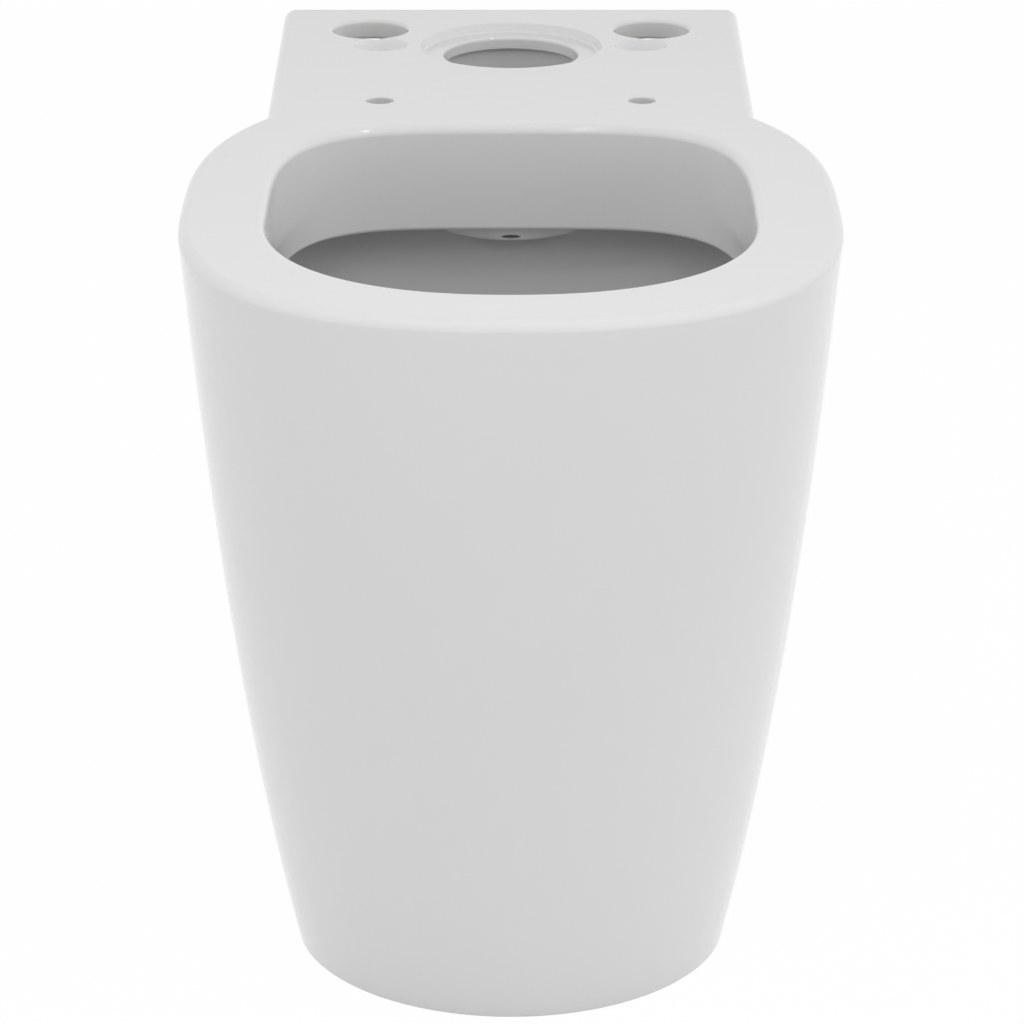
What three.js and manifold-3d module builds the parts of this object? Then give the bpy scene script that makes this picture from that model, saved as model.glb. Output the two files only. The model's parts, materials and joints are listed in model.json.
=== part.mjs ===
// Raised-height toilet pan: close-coupled, back to the wall, without seat, lid or cistern.
// Millimetres, +Z up. The origin is on the floor under the middle of the pan's length and width.
// The front faces -Y, the wall side faces +Y, and +X is on the right for someone facing the pan.
//
// The china is one fired piece, cast in sections that are joined with wet clay before firing.
// Each cast section is a solid of its own here, with a hairline clearance at its joint.
import * as THREE from "three";
import { mergeVertices } from "three/addons/utils/BufferGeometryUtils.js";
import Module from "manifold-3d";

const wasm = await Module();
wasm.setup();

// Overall size
const overallWidth = 364;
const overallDepth = 664;
const overallHeight = 450;

// Outer shape. A size "from wall" is a distance from the wall plane towards the front.
const footHalfWidth = 124;
const footFrontFromWall = 536;
const deckHalfWidth = 143;
const shoulderFromWall = 259;
const topEdgeRadius = 6.4;
const rearCornerRadius = 8;
const rearEdgeReach = 2.5;

// Where the pan is widest at foot and top, on the way from the shoulders to the front
const footWidestShare = 0.527;
const topWidestShare = 0.474;

// How steeply the sides and front lean out at foot and top, and how square the curves are
const footSideLeanShare = 0.217;
const topSideLeanShare = 0.081;
const footFrontLeanShare = 0.42;
const topFrontLeanShare = 0.16;
const footDeckLeanShare = 0.08;
const topDeckLeanShare = 0.01;
const footFrontPowerShare = 1.98;
const topFrontPowerShare = 2.46;
const shoulderPowerShare = 3.23;

// China thicknesses and the clearance at every joint
const topThickness = 12.7;
const skirtWall = 12;
const bowlWall = 8;
const clearance = 0.3;

// Breadth of the flat rim round the bowl opening, and the shape of that opening
const rimSideBreadth = 43.2;
const rimFrontBreadth = 47;
const rimRearBreadth = 19;
const openingEdgeRadius = 5;
const openingWidestShare = 0.554;
const openingRearPowerShare = 3.97;
const openingFrontPowerShare = 2.27;

// Flushing rim: a curtain hangs from the top face in front of a water channel with wash holes
const curtainDrop = 62.8;
const curtainThickness = 9;
const curtainEdgeRadius = 2.5;
const channelWidth = 12;
const channelFloorThickness = 8;
const washHoleRadius = 3;

// Jet nose: a belly that hangs under the back of the water channel, with a level jet slot that
// is fed from the channel. The power says how square the belly is, the share where it ends.
const noseHalfWidth = 39;
const noseReach = 14;
const noseDrop = 9.8;
const nosePowerShare = 4;
const noseEndShare = 0.85;
const jetSlotWidth = 11.2;
const jetSlotHeight = 2.4;
const jetSlotDrop = 5.8;
const jetFeedRadius = 3.5;

// Cistern deck with the holes that its top face shows
const deckDepth = 244;
const boltHoleSpacing = 175;
const boltHoleFromWall = 51.5;
const boltHoleRadius = 23.2;
const boltHoleEdgeRadius = 2.5;
const dimpleSpacing = 160;
const dimpleFromWall = 90.5;
const dimpleRadius = 17;
const dimpleDepth = 4;
const inletFromWall = 92;
const inletRecessRadius = 56.6;
const inletRecessDepth = 5.7;
const inletStepRadius = 50;
const inletStepDepth = 2.7;
const inletLedgeRadius = 46;
const inletHoleRadius = 41;
const hingeHoleSpacing = 155;
const hingeHoleFromWall = 223.4;
const hingeHoleRadius = 8;
const hingeHoleEdgeRadius = 1.2;

// Flush chamber under the inlet: its rear end is round, and it is wider than the inlet hole
const chamberSetback = 4;
const chamberDepth = 82.3;
const chamberWall = 7.5;
const chamberWindowHalfWidth = 41;
const chamberLintel = 6;

// Sump and trap. The weir, which holds the water seal, is the low side of the trap's crown.
const sumpFromWall = 400;
const sumpHalfWidth = 48;
const sumpHalfLength = 56;
const sumpDepth = 94;
const sumpFloorRadius = 22;
const sumpWall = 9;
const sumpGroundShare = 0.541;
const trapStubLength = 11;
const trapBoreRadius = 38;
const trapWall = 8;
const uplegReach = 118;
const downlegReach = 105;
const weirRise = 127;
const outletDrop = 15;
const spigotOuterRadius = 51;
const spigotWall = 8;
const spigotLength = 40;

// Side fixings: an angle bracket stands on the floor behind each side of the skirt
const fixingFromWall = 150;
const fixingHeight = 55;
const skirtHoleRadius = 7;
const capRecessRadius = 12.5;
const capRecessDepth = 2.5;
const capRadius = 12;
const capHeight = 7;
const capWall = 2;
const capEdgeRadius = 1.5;
const screwShankRadius = 3.5;
const screwHeadRadius = 6.2;
const screwHeadHeight = 2.8;
const screwPointLength = 3;
const washerOuterRadius = 8;
const washerThickness = 1.2;
const bushFlangeRadius = 11;
const bracketThickness = 5;
const bracketFootLength = 42;
const bracketUprightHeight = 78;
const bracketWidth = 50;
const bracketFloorHoleRadius = 4.5;
const nutWidth = 18;
const nutThickness = 9;

// How finely the curves are stepped
const shoulderSteps = 6;
const frontSteps = 12;
const rearBarSteps = 5;
const skirtRows = 10;
const bowlRows = 9;
const noseSteps = 8;
const noseRows = 5;
const chamberSteps = 6;
const edgeSteps = 3;
const tubeSides = 20;
const tubeSteps = 10;
const holeSides = 24;
const smallHoleSides = 12;

// A value between two others
const mix = (start, end, share) => start + (end - start) * share;

// Heights of the top and the rim
const topEdgeHeight = overallHeight - topEdgeRadius;
const topUnderside = overallHeight - topThickness;
const curtainFoot = overallHeight - curtainDrop;
const channelFloorTop = curtainFoot + channelFloorThickness;

// Places of the opening, the flush chamber, the collar behind the channel and the jet nose
const openingHalfWidth = overallWidth / 2 - rimSideBreadth;
const openingRearFromWall = shoulderFromWall + rimRearBreadth;
const openingFrontFromWall = overallDepth - rimFrontBreadth;
const openingWidestFromWall = mix(openingRearFromWall, openingFrontFromWall, openingWidestShare);
const chamberHalfWidth = inletHoleRadius + chamberSetback;
const rimDepth = curtainThickness + channelWidth - openingEdgeRadius;
const collarFromWall = openingRearFromWall - rimDepth;
const jetFeedFromWall = collarFromWall + channelWidth / 2;

// The trap stands between the floor and the flush chamber, and shares out the height left over
const trapOuterRadius = trapBoreRadius + trapWall;
const chamberUnderside = topUnderside - chamberDepth - chamberWall;
const trapStack = sumpWall + weirRise + trapBoreRadius + trapOuterRadius;
const sumpFloorHeight = (chamberUnderside - trapStack) * sumpGroundShare + sumpWall;
const sumpTopHeight = sumpFloorHeight + sumpDepth;
const weirHeight = sumpFloorHeight + weirRise;
const trapInletHeight = sumpFloorHeight + trapBoreRadius;
const trapCrownHeight = weirHeight + trapBoreRadius;
const outletHeight = weirHeight - outletDrop;
const trapInletFromWall = sumpFromWall - sumpHalfLength - trapStubLength;
const weirFromWall = trapInletFromWall - uplegReach;
const outletFromWall = weirFromWall - downlegReach;

// A cut runs this far past the faces that it opens
const overrun = topEdgeRadius;

// How far up the outer wall a height lies; the wall ends where the top edge round starts
const riseShare = (height) => Math.min(height / topEdgeHeight, 1);

// Smooth curve up the outer wall, from a foot value to a top value with a lean at each end
function overHeight(foot, top, footLean, topLean, height) {
  const rise = riseShare(height);
  const footPart = (2 * rise ** 3 - 3 * rise ** 2 + 1) * foot;
  const topPart = (3 * rise ** 2 - 2 * rise ** 3) * top;
  const footLeanPart = (rise ** 3 - 2 * rise ** 2 + rise) * footLean;
  const topLeanPart = (rise ** 3 - rise ** 2) * topLean;
  return footPart + topPart + (footLeanPart + topLeanPart) * topEdgeHeight;
}

// Quarter of a rounded outline: turnShare 0 is its widest point and 1 its farthest one
function roundedQuarter(halfWidth, reach, powerShare, turnShare) {
  const angle = (turnShare * Math.PI) / 2;
  const across = halfWidth * Math.cos(angle) ** (2 / powerShare);
  const along = reach * Math.sin(angle) ** (2 / powerShare);
  return [across, along];
}

// A plan point is (x, distance from the wall), and this lifts it to its place in the model
const placed = (point, height) => new THREE.Vector3(point.x, overallDepth / 2 - point.y, height);

// A left half that ends on the centre line, completed by its mirror image
function mirrored(left) {
  const right = left.slice(0, -1).reverse();
  return [...left, ...right.map((point) => new THREE.Vector2(-point.x, point.y))];
}

// A plan line moved outwards by a distance, or inwards by a negative one
function offsetLine(line, distance, closed) {
  const last = line.length - 1;
  return line.map((point, index) => {
    const before = line[index === 0 ? (closed ? last : 0) : index - 1];
    const after = line[index === last ? (closed ? 0 : last) : index + 1];
    const normals = [];
    if (before !== point) {
      normals.push(outwardNormal(before, point));
    }
    if (after !== point) {
      normals.push(outwardNormal(point, after));
    }
    const middle = normals[0].clone().add(normals[normals.length - 1]).normalize();
    const stretch = distance / middle.dot(normals[0]);
    return point.clone().addScaledVector(middle, stretch);
  });
}

function outwardNormal(from, to) {
  const along = to.clone().sub(from).normalize();
  return new THREE.Vector2(-along.y, along.x);
}

// Half width of the straight-sided part behind the shoulders
function rearHalfWidth(height) {
  return overHeight(footHalfWidth, deckHalfWidth, footDeckLeanShare, topDeckLeanShare, height);
}

// The pan's side and front line at one height, from the left rear round the front to the right rear
function sideLine(height, rearStations) {
  const rise = riseShare(height);
  const half = overHeight(
    footHalfWidth, overallWidth / 2, footSideLeanShare, topSideLeanShare, height);
  const front = overHeight(
    footFrontFromWall, overallDepth, footFrontLeanShare, topFrontLeanShare, height);
  const widest = mix(
    mix(shoulderFromWall, footFrontFromWall, footWidestShare),
    mix(shoulderFromWall, overallDepth, topWidestShare), rise);
  const frontPower = mix(footFrontPowerShare, topFrontPowerShare, rise);
  const rearHalf = rearHalfWidth(height);
  const left = [...rearStations, shoulderFromWall].map(
    (fromWall) => new THREE.Vector2(-rearHalf, fromWall));
  for (let step = 1; step <= shoulderSteps; step += 1) {
    const share = step / shoulderSteps;
    const across = half - (half - rearHalf) * (1 - share) ** shoulderPowerShare;
    left.push(new THREE.Vector2(-across, mix(shoulderFromWall, widest, share)));
  }
  for (let step = 1; step <= frontSteps; step += 1) {
    const [across, along] = roundedQuarter(half, front - widest, frontPower, step / frontSteps);
    left.push(new THREE.Vector2(-across, widest + along));
  }
  return mirrored(left);
}

// A closed rounded line whose points run in step with the rim's outer line
function roundedLoop(size) {
  const rearSteps = shoulderSteps + 1 + rearBarSteps;
  const rearPoint = (step) => {
    const [across, along] = roundedQuarter(
      size.halfWidth, size.rearReach, size.rearPowerShare, step / rearSteps);
    return new THREE.Vector2(-across, size.fromWall - along);
  };
  const left = [];
  for (let step = shoulderSteps + 1; step >= 0; step -= 1) {
    left.push(rearPoint(step));
  }
  for (let step = 1; step <= frontSteps; step += 1) {
    const [across, along] = roundedQuarter(
      size.halfWidth, size.frontReach, size.frontPowerShare, step / frontSteps);
    left.push(new THREE.Vector2(-across, size.fromWall + along));
  }
  const rear = [];
  for (let step = shoulderSteps + 2; step <= rearSteps; step += 1) {
    const point = rearPoint(step);
    rear.push(new THREE.Vector2(-point.x, point.y));
  }
  return [...mirrored(left), ...mirrored(rear)];
}

// Lines of the flushing rim, each made from its inner neighbour
const openingLine = roundedLoop({
  halfWidth: openingHalfWidth,
  fromWall: openingWidestFromWall,
  rearReach: openingWidestFromWall - openingRearFromWall,
  frontReach: openingFrontFromWall - openingWidestFromWall,
  rearPowerShare: openingRearPowerShare,
  frontPowerShare: openingFrontPowerShare,
});
const curtainFace = offsetLine(openingLine, -openingEdgeRadius, true);
const curtainBack = offsetLine(curtainFace, curtainThickness, true);
const collarFace = offsetLine(curtainBack, channelWidth, true);
const collarBack = offsetLine(collarFace, bowlWall, true);
const sumpLine = roundedLoop({
  halfWidth: sumpHalfWidth,
  fromWall: sumpFromWall,
  rearReach: sumpHalfLength,
  frontReach: sumpHalfLength,
  rearPowerShare: 2,
  frontPowerShare: 2,
});

// Places of the side fixings, measured outwards from the middle plane
const fixingFace = rearHalfWidth(fixingHeight);
const fixingSeat = fixingFace - capRecessDepth;
const fixingInnerFace = fixingFace - skirtWall;
const bracketFace = footHalfWidth - skirtWall - clearance;

// Solids

// Triangles of a flat polygon, wound the way its points run
function cap(points) {
  const normal = new THREE.Vector3();
  points.forEach((point, index) => {
    const next = points[(index + 1) % points.length];
    normal.add(new THREE.Vector3().crossVectors(point, next));
  });
  const size = [Math.abs(normal.x), Math.abs(normal.y), Math.abs(normal.z)];
  const widest = size.indexOf(Math.max(...size));
  const flat = points.map((point) => {
    const values = point.toArray();
    values.splice(widest, 1);
    return new THREE.Vector2(...values);
  });
  const turn = Math.sign(THREE.ShapeUtils.area(flat));
  return THREE.ShapeUtils.triangulateShape(flat, []).map((face) => {
    const faceTurn = Math.sign(THREE.ShapeUtils.area(face.map((index) => flat[index])));
    return faceTurn === turn ? face : [...face].reverse();
  });
}

// A solid through a row of closed sections with equal point counts, joined end to end if looped
function loft(sections, looped = false) {
  const count = sections[0].length;
  const index = [];
  const joins = looped ? sections.length : sections.length - 1;
  for (let row = 0; row < joins; row += 1) {
    const here = row * count;
    const there = ((row + 1) % sections.length) * count;
    for (let point = 0; point < count; point += 1) {
      const next = (point + 1) % count;
      index.push(here + point, there + point, there + next);
      index.push(here + point, there + next, here + next);
    }
  }
  if (!looped) {
    const end = (sections.length - 1) * count;
    cap(sections[0]).forEach((face) => index.push(...face));
    cap(sections[sections.length - 1]).forEach((face) => {
      index.push(...face.map((corner) => corner + end).reverse());
    });
  }
  const positions = sections.flat().flatMap((point) => point.toArray());
  const geometry = new THREE.BufferGeometry();
  geometry.setAttribute("position", new THREE.Float32BufferAttribute(positions, 3));
  geometry.setIndex(index);
  return toSolid(geometry);
}

// A closed geometry as a solid with its faces outwards, without the slivers at a turned pole
function toSolid(geometry) {
  geometry.deleteAttribute("normal");
  geometry.deleteAttribute("uv");
  const merged = mergeVertices(geometry);
  const position = merged.getAttribute("position");
  const corner = (index) => new THREE.Vector3().fromBufferAttribute(position, index);
  const faces = [];
  let volume = 0;
  for (let start = 0; start < merged.index.count; start += 3) {
    const [a, b, c] = merged.index.array.slice(start, start + 3);
    if (a !== b && b !== c && c !== a) {
      faces.push([a, b, c]);
      volume += corner(a).dot(corner(b).cross(corner(c)));
    }
  }
  const outward = volume > 0 ? faces : faces.map((face) => [...face].reverse());
  const mesh = new wasm.Mesh({
    numProp: 3,
    vertProperties: Float32Array.from(position.array),
    triVerts: Uint32Array.from(outward.flat()),
  });
  return new wasm.Manifold(mesh);
}

// A solid between two heights over one plan line
function column(line, bottom, top) {
  return loft([bottom, top].map((height) => line.map((point) => placed(point, height))));
}

// A box between two corners given as x, distance from the wall and height
function box(low, high) {
  const size = high.map((value, axis) => value - low[axis]);
  const middle = high.map((value, axis) => (value + low[axis]) / 2);
  const geometry = new THREE.BoxGeometry(...size);
  geometry.translate(middle[0], overallDepth / 2 - middle[1], middle[2]);
  return toSolid(geometry);
}

// A turned solid from radius and height pairs that close on themselves or on the axis
function turned(profile, sides) {
  const points = [...profile, profile[0]].map(([radius, along]) => new THREE.Vector2(radius, along));
  return new THREE.LatheGeometry(points, sides);
}

// The same, standing on a plan place with its axis upright
function turnedUpright(profile, sides, x, fromWall) {
  const geometry = turned(profile, sides);
  geometry.rotateX(Math.PI / 2);
  geometry.translate(x, overallDepth / 2 - fromWall, 0);
  return toSolid(geometry);
}

// The same, lying along x at a side fixing, with its heights measured outwards from the middle
function turnedSideways(profile, sides, side) {
  const geometry = turned(profile, sides);
  geometry.rotateZ((-side * Math.PI) / 2);
  geometry.translate(0, overallDepth / 2 - fixingFromWall, fixingHeight);
  return toSolid(geometry);
}

// Profile of a plain rod or hole
const rod = (radius, bottom, top) => [[0, bottom], [radius, bottom], [radius, top], [0, top]];

// Profile of a pipe or washer
const pipe = (inner, outer, bottom, top) => [
  [inner, bottom], [outer, bottom], [outer, top], [inner, top],
];

// Profile of a hole whose rim in the top face is rounded over
function softHole(radius, edge, bottom) {
  const profile = [[0, bottom], [radius, bottom]];
  for (let step = 0; step <= edgeSteps; step += 1) {
    const angle = (step / edgeSteps) * (Math.PI / 2);
    const height = overallHeight - edge + edge * Math.sin(angle);
    profile.push([radius + edge * (1 - Math.cos(angle)), height]);
  }
  const outer = radius + edge;
  profile.push([outer, overallHeight + overrun], [0, overallHeight + overrun]);
  return profile;
}

// Centre line that leaves level, climbs or drops in two equal bends and arrives level
class LevelBend extends THREE.Curve {
  constructor(start, end) {
    super();
    this.start = start;
    this.run = start.y - end.y;
    this.rise = end.z - start.z;
    this.angle = 2 * Math.atan(this.rise / this.run);
    this.radius = this.run / (2 * Math.sin(this.angle));
  }

  getPoint(turnShare) {
    const first = turnShare <= 0.5;
    const angle = 2 * this.angle * (first ? turnShare : 1 - turnShare);
    const run = this.radius * Math.sin(angle);
    const rise = this.radius * (1 - Math.cos(angle));
    const y = this.start.y - (first ? run : this.run - run);
    const z = this.start.z + (first ? rise : this.rise - rise);
    return new THREE.Vector3(this.start.x, y, z);
  }
}

// A round pipe along a bend
function bentPipe(start, end, inner, outer) {
  const ring = new THREE.Shape().absarc(0, 0, outer, 0, 2 * Math.PI);
  ring.holes.push(new THREE.Path().absarc(0, 0, inner, 0, 2 * Math.PI));
  const geometry = new THREE.ExtrudeGeometry(ring, {
    steps: tubeSteps,
    curveSegments: tubeSides / 2,
    extrudePath: new LevelBend(start, end),
    bevelEnabled: false,
  });
  return toSolid(geometry);
}

// China sections

// The rim's top face with its outer edge round, and the curtain that hangs from its inner edge
function rimRing() {
  const stations = [deckDepth + clearance];
  const rearBar = [];
  for (let step = 1; step <= rearBarSteps; step += 1) {
    const share = 1 - step / rearBarSteps;
    rearBar.push(new THREE.Vector2(rearHalfWidth(overallHeight) * share, stations[0]));
  }
  const withRearBar = (line) => [...line, ...mirrored(rearBar)];
  const lines = [[withRearBar(sideLine(topUnderside, stations)), topUnderside]];
  for (let step = 0; step <= edgeSteps; step += 1) {
    const angle = (step / edgeSteps) * (Math.PI / 2);
    const height = overallHeight - topEdgeRadius * (1 - Math.sin(angle));
    const inset = topEdgeRadius * (1 - Math.cos(angle));
    const line = offsetLine(sideLine(height, stations), -inset, false);
    lines.push([withRearBar(line), height]);
  }
  for (let step = 0; step <= edgeSteps; step += 1) {
    const angle = (step / edgeSteps) * (Math.PI / 2);
    const height = overallHeight - openingEdgeRadius * (1 - Math.cos(angle));
    lines.push([offsetLine(openingLine, -openingEdgeRadius * Math.sin(angle), true), height]);
  }
  lines.push([curtainFace, curtainFoot + curtainEdgeRadius]);
  lines.push([offsetLine(curtainFace, curtainEdgeRadius, true), curtainFoot]);
  lines.push([offsetLine(curtainBack, -curtainEdgeRadius, true), curtainFoot]);
  lines.push([curtainBack, curtainFoot + curtainEdgeRadius]);
  lines.push([curtainBack, topUnderside]);
  const sections = openingLine.map((_, index) =>
    lines.map(([line, height]) => placed(line[index], height)));
  return loft(sections, true);
}

// The slab that carries the cistern, with its inlet, bolt holes, dimples and seat hinge holes
function cisternDeck() {
  const bottom = topUnderside - overrun;
  const rings = [[topUnderside, 0]];
  for (let step = 0; step <= edgeSteps; step += 1) {
    const angle = (step / edgeSteps) * (Math.PI / 2);
    const height = overallHeight - topEdgeRadius * (1 - Math.sin(angle));
    rings.push([height, topEdgeRadius * (1 - Math.cos(angle))]);
  }
  const slab = loft(rings.map(([height, inset]) =>
    deckLine(height, inset).map((point) => placed(point, height))));
  const cuts = [turnedUpright(inletProfile(bottom), 2 * holeSides, 0, inletFromWall)];
  for (const side of [-1, 1]) {
    const boltHole = softHole(boltHoleRadius, boltHoleEdgeRadius, bottom);
    const hingeHole = softHole(hingeHoleRadius, hingeHoleEdgeRadius, bottom);
    cuts.push(
      turnedUpright(boltHole, holeSides, (side * boltHoleSpacing) / 2, boltHoleFromWall),
      turnedUpright(dimpleProfile(), holeSides, (side * dimpleSpacing) / 2, dimpleFromWall),
      turnedUpright(hingeHole, smallHoleSides, (side * hingeHoleSpacing) / 2, hingeHoleFromWall),
    );
  }
  return cuts.reduce((deck, cut) => deck.subtract(cut), slab);
}

// Outline of the deck, from its right front corner round the rear to its left front corner.
// The edge round that draws it in is shallower along the rear than along the sides.
function deckLine(height, inset) {
  const half = rearHalfWidth(height) - inset;
  const rear = (inset * rearEdgeReach) / topEdgeRadius;
  const right = [new THREE.Vector2(half, deckDepth)];
  for (let step = 0; step <= edgeSteps; step += 1) {
    const angle = (step / edgeSteps) * (Math.PI / 2);
    const x = half - rearCornerRadius * (1 - Math.cos(angle));
    right.push(new THREE.Vector2(x, rear + rearCornerRadius * (1 - Math.sin(angle))));
  }
  const left = right.map((point) => new THREE.Vector2(-point.x, point.y));
  return [...right, ...left.reverse()];
}

// Stepped recess that seats the cistern's sealing ring, and the water hole in its middle
function inletProfile(bottom) {
  const step = overallHeight - inletStepDepth;
  const ledge = overallHeight - inletRecessDepth;
  return [
    [0, bottom],
    [inletHoleRadius, bottom],
    [inletHoleRadius, ledge],
    [inletLedgeRadius, ledge],
    [inletStepRadius, step],
    [inletRecessRadius, overallHeight],
    [inletRecessRadius, overallHeight + overrun],
    [0, overallHeight + overrun],
  ];
}

// Shallow round hollow, deepest in its middle
function dimpleProfile() {
  const profile = [];
  for (let step = 0; step <= edgeSteps; step += 1) {
    const share = step / edgeSteps;
    profile.push([dimpleRadius * share, overallHeight - dimpleDepth * (1 - share ** 2)]);
  }
  return [...profile, [dimpleRadius, overallHeight + overrun], [0, overallHeight + overrun]];
}

// The outer wall, open at the rear and below, with a recessed screw hole in each side
function skirtShell() {
  const rearStations = [];
  for (let step = 0; step <= edgeSteps; step += 1) {
    const angle = (step / edgeSteps) * (Math.PI / 2);
    rearStations.push(rearCornerRadius * (1 - Math.cos(angle)));
  }
  const top = topUnderside - clearance;
  const outer = [];
  const inner = [];
  for (let row = 0; row <= skirtRows; row += 1) {
    const height = (top * row) / skirtRows;
    const line = sideLine(height, rearStations);
    const rounded = line.map((point) => rearRounded(point));
    outer.push(rounded.map((point) => placed(point, height)));
    inner.push(offsetLine(line, -skirtWall, false).map((point) => placed(point, height)));
  }
  const rows = [...outer, ...inner.reverse()];
  const shell = loft(rows[0].map((_, index) => rows.map((row) => row[index])));
  return [-1, 1].reduce((body, side) => {
    const hole = turnedSideways(rod(skirtHoleRadius, 0, fixingFace), holeSides, side);
    const recessEnd = fixingSeat + capRecessRadius;
    const recess = turnedSideways(rod(capRecessRadius, fixingSeat, recessEnd), holeSides, side);
    return body.subtract(hole).subtract(recess);
  }, shell);
}

// A rear point of the side line drawn in so that the upright rear edge is rounded
function rearRounded(point) {
  if (point.y >= rearCornerRadius) {
    return point;
  }
  const reach = Math.sqrt(rearCornerRadius ** 2 - (rearCornerRadius - point.y) ** 2);
  const inset = rearCornerRadius - reach;
  return new THREE.Vector2(point.x - Math.sign(point.x) * inset, point.y);
}

// The bowl's inner line at a share of its fall from the water channel to the sump
function bowlLine(share) {
  const drawn = share ** 2 * (3 - 2 * share);
  return collarFace.map((point, index) => point.clone().lerp(sumpLine[index], drawn));
}

// Rows of that line, as pairs of line and height
function bowlLines() {
  const lines = [];
  for (let row = 0; row <= bowlRows; row += 1) {
    const share = row / bowlRows;
    lines.push([bowlLine(share), mix(curtainFoot, sumpTopHeight, share)]);
  }
  return lines;
}

// The upright wall behind the water channel, with a window from the flush chamber
function rimCollar() {
  const bottom = curtainFoot + clearance;
  const top = topUnderside - clearance;
  const sections = collarFace.map((point, index) => [
    placed(point, bottom),
    placed(collarBack[index], bottom),
    placed(collarBack[index], top),
    placed(point, top),
  ]);
  const window = box(
    [-chamberWindowHalfWidth, inletFromWall, channelFloorTop],
    [chamberWindowHalfWidth, openingRearFromWall, topUnderside - chamberLintel]);
  return loft(sections, true).subtract(window);
}

// The bowl: walls that draw in from the water channel to the sump
function bowlBasin() {
  const lines = bowlLines();
  const sections = collarFace.map((rimPoint, index) => {
    const inner = lines.map(([line, height]) => placed(line[index], height));
    const inward = placed(sumpLine[index], 0).sub(placed(rimPoint, 0)).normalize();
    const outer = inner.map((point, row) => {
      const isEnd = row === 0 || row === inner.length - 1;
      const slope = isEnd ? 0 : slopeAlong(inner[row - 1], inner[row + 1], inward);
      const away = new THREE.Vector3(-inward.x, -inward.y, -slope).normalize();
      return point.clone().addScaledVector(away, bowlWall);
    });
    return [...inner, ...outer.reverse()];
  });
  return loft(sections, true);
}

// How far a wall draws in for each unit that it falls
function slopeAlong(before, after, inward) {
  const step = after.clone().sub(before);
  return step.dot(inward) / (before.z - after.z);
}

// The floor of the water channel, with wash holes all round and one feed hole over the jet nose
function rimChannelFloor() {
  const inner = offsetLine(curtainBack, clearance, true);
  const outer = offsetLine(collarFace, -clearance, true);
  const sections = inner.map((point, index) => [
    placed(point, curtainFoot),
    placed(outer[index], curtainFoot),
    placed(outer[index], channelFloorTop),
    placed(point, channelFloorTop),
  ]);
  const middle = offsetLine(curtainBack, channelWidth / 2, true);
  const bottom = curtainFoot - overrun;
  const top = channelFloorTop + overrun;
  const dryHalfWidth = noseHalfWidth + channelWidth;
  const feed = turnedUpright(rod(jetFeedRadius, bottom, top), smallHoleSides, 0, jetFeedFromWall);
  let floor = loft(sections, true).subtract(feed);
  middle.forEach((point, index) => {
    const overNose = Math.abs(point.x) < dryHalfWidth && point.y < openingWidestFromWall;
    if (index % 2 === 1 && !overNose) {
      const profile = rod(washHoleRadius, bottom, top);
      floor = floor.subtract(turnedUpright(profile, smallHoleSides, point.x, point.y));
    }
  });
  return floor;
}

// The belly under the back of the channel, with its jet slot and the feed hole above it
function jetNose() {
  const top = curtainFoot - clearance;
  const rows = [];
  for (let row = 0; row <= noseRows; row += 1) {
    const angle = (noseEndShare * Math.PI * row) / (2 * noseRows);
    const height = top - noseDrop * Math.sin(angle) ** (2 / nosePowerShare);
    const line = noseLine(Math.cos(angle) ** (2 / nosePowerShare));
    rows.push(line.map((point) => placed(point, height)));
  }
  const slotHeight = top - jetSlotDrop;
  const slot = box(
    [-jetSlotWidth / 2, jetFeedFromWall, slotHeight - jetSlotHeight / 2],
    [jetSlotWidth / 2, openingRearFromWall + overrun, slotHeight + jetSlotHeight / 2]);
  const feed = turnedUpright(
    rod(jetFeedRadius, slotHeight - jetSlotHeight / 2, top + overrun),
    smallHoleSides, 0, jetFeedFromWall);
  return loft(rows).intersect(bowlSpace()).subtract(slot).subtract(feed);
}

// The belly's outline in plan at a share of its full size
function noseLine(share) {
  const left = [new THREE.Vector2(-noseHalfWidth * share, collarFromWall - noseReach)];
  for (let step = 0; step <= noseSteps; step += 1) {
    const across = 1 - step / noseSteps;
    const reach = noseReach * share * (1 - across ** 2);
    left.push(new THREE.Vector2(-noseHalfWidth * share * across, collarFromWall + reach));
  }
  return mirrored(left);
}

// The space inside the bowl, clear of its wall
function bowlSpace() {
  return loft(bowlLines().map(([line, height]) =>
    offsetLine(line, -clearance, true).map((point) => placed(point, height))));
}

// The water chamber under the inlet: a tray closed by the deck, with a window to the channel
function flushChamber() {
  const top = topUnderside - clearance;
  const bottom = topUnderside - chamberDepth;
  const outerFront = openingWidestFromWall;
  const innerFront = Math.min(...collarBack.map((point) => point.y)) - clearance - chamberWall;
  const outside = chamberLine(chamberHalfWidth + chamberWall, outerFront);
  const tray = column(outside, bottom - chamberWall, top);
  const hollow = column(chamberLine(chamberHalfWidth, innerFront), bottom, top + overrun);
  const window = box(
    [-chamberWindowHalfWidth, inletFromWall, channelFloorTop],
    [chamberWindowHalfWidth, outerFront, topUnderside - chamberLintel]);
  const bowl = column(
    offsetLine(collarBack, clearance, true), bottom - chamberWall - overrun, top + overrun);
  return tray.subtract(bowl).subtract(hollow).subtract(window);
}

// Plan of the chamber: straight sides that end in a half circle round the middle of the inlet
function chamberLine(halfWidth, front) {
  const left = [new THREE.Vector2(-halfWidth, front)];
  for (let step = 0; step <= chamberSteps; step += 1) {
    const angle = (step / chamberSteps) * (Math.PI / 2);
    const behind = halfWidth * Math.sin(angle);
    left.push(new THREE.Vector2(-halfWidth * Math.cos(angle), inletFromWall - behind));
  }
  return mirrored(left);
}

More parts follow.
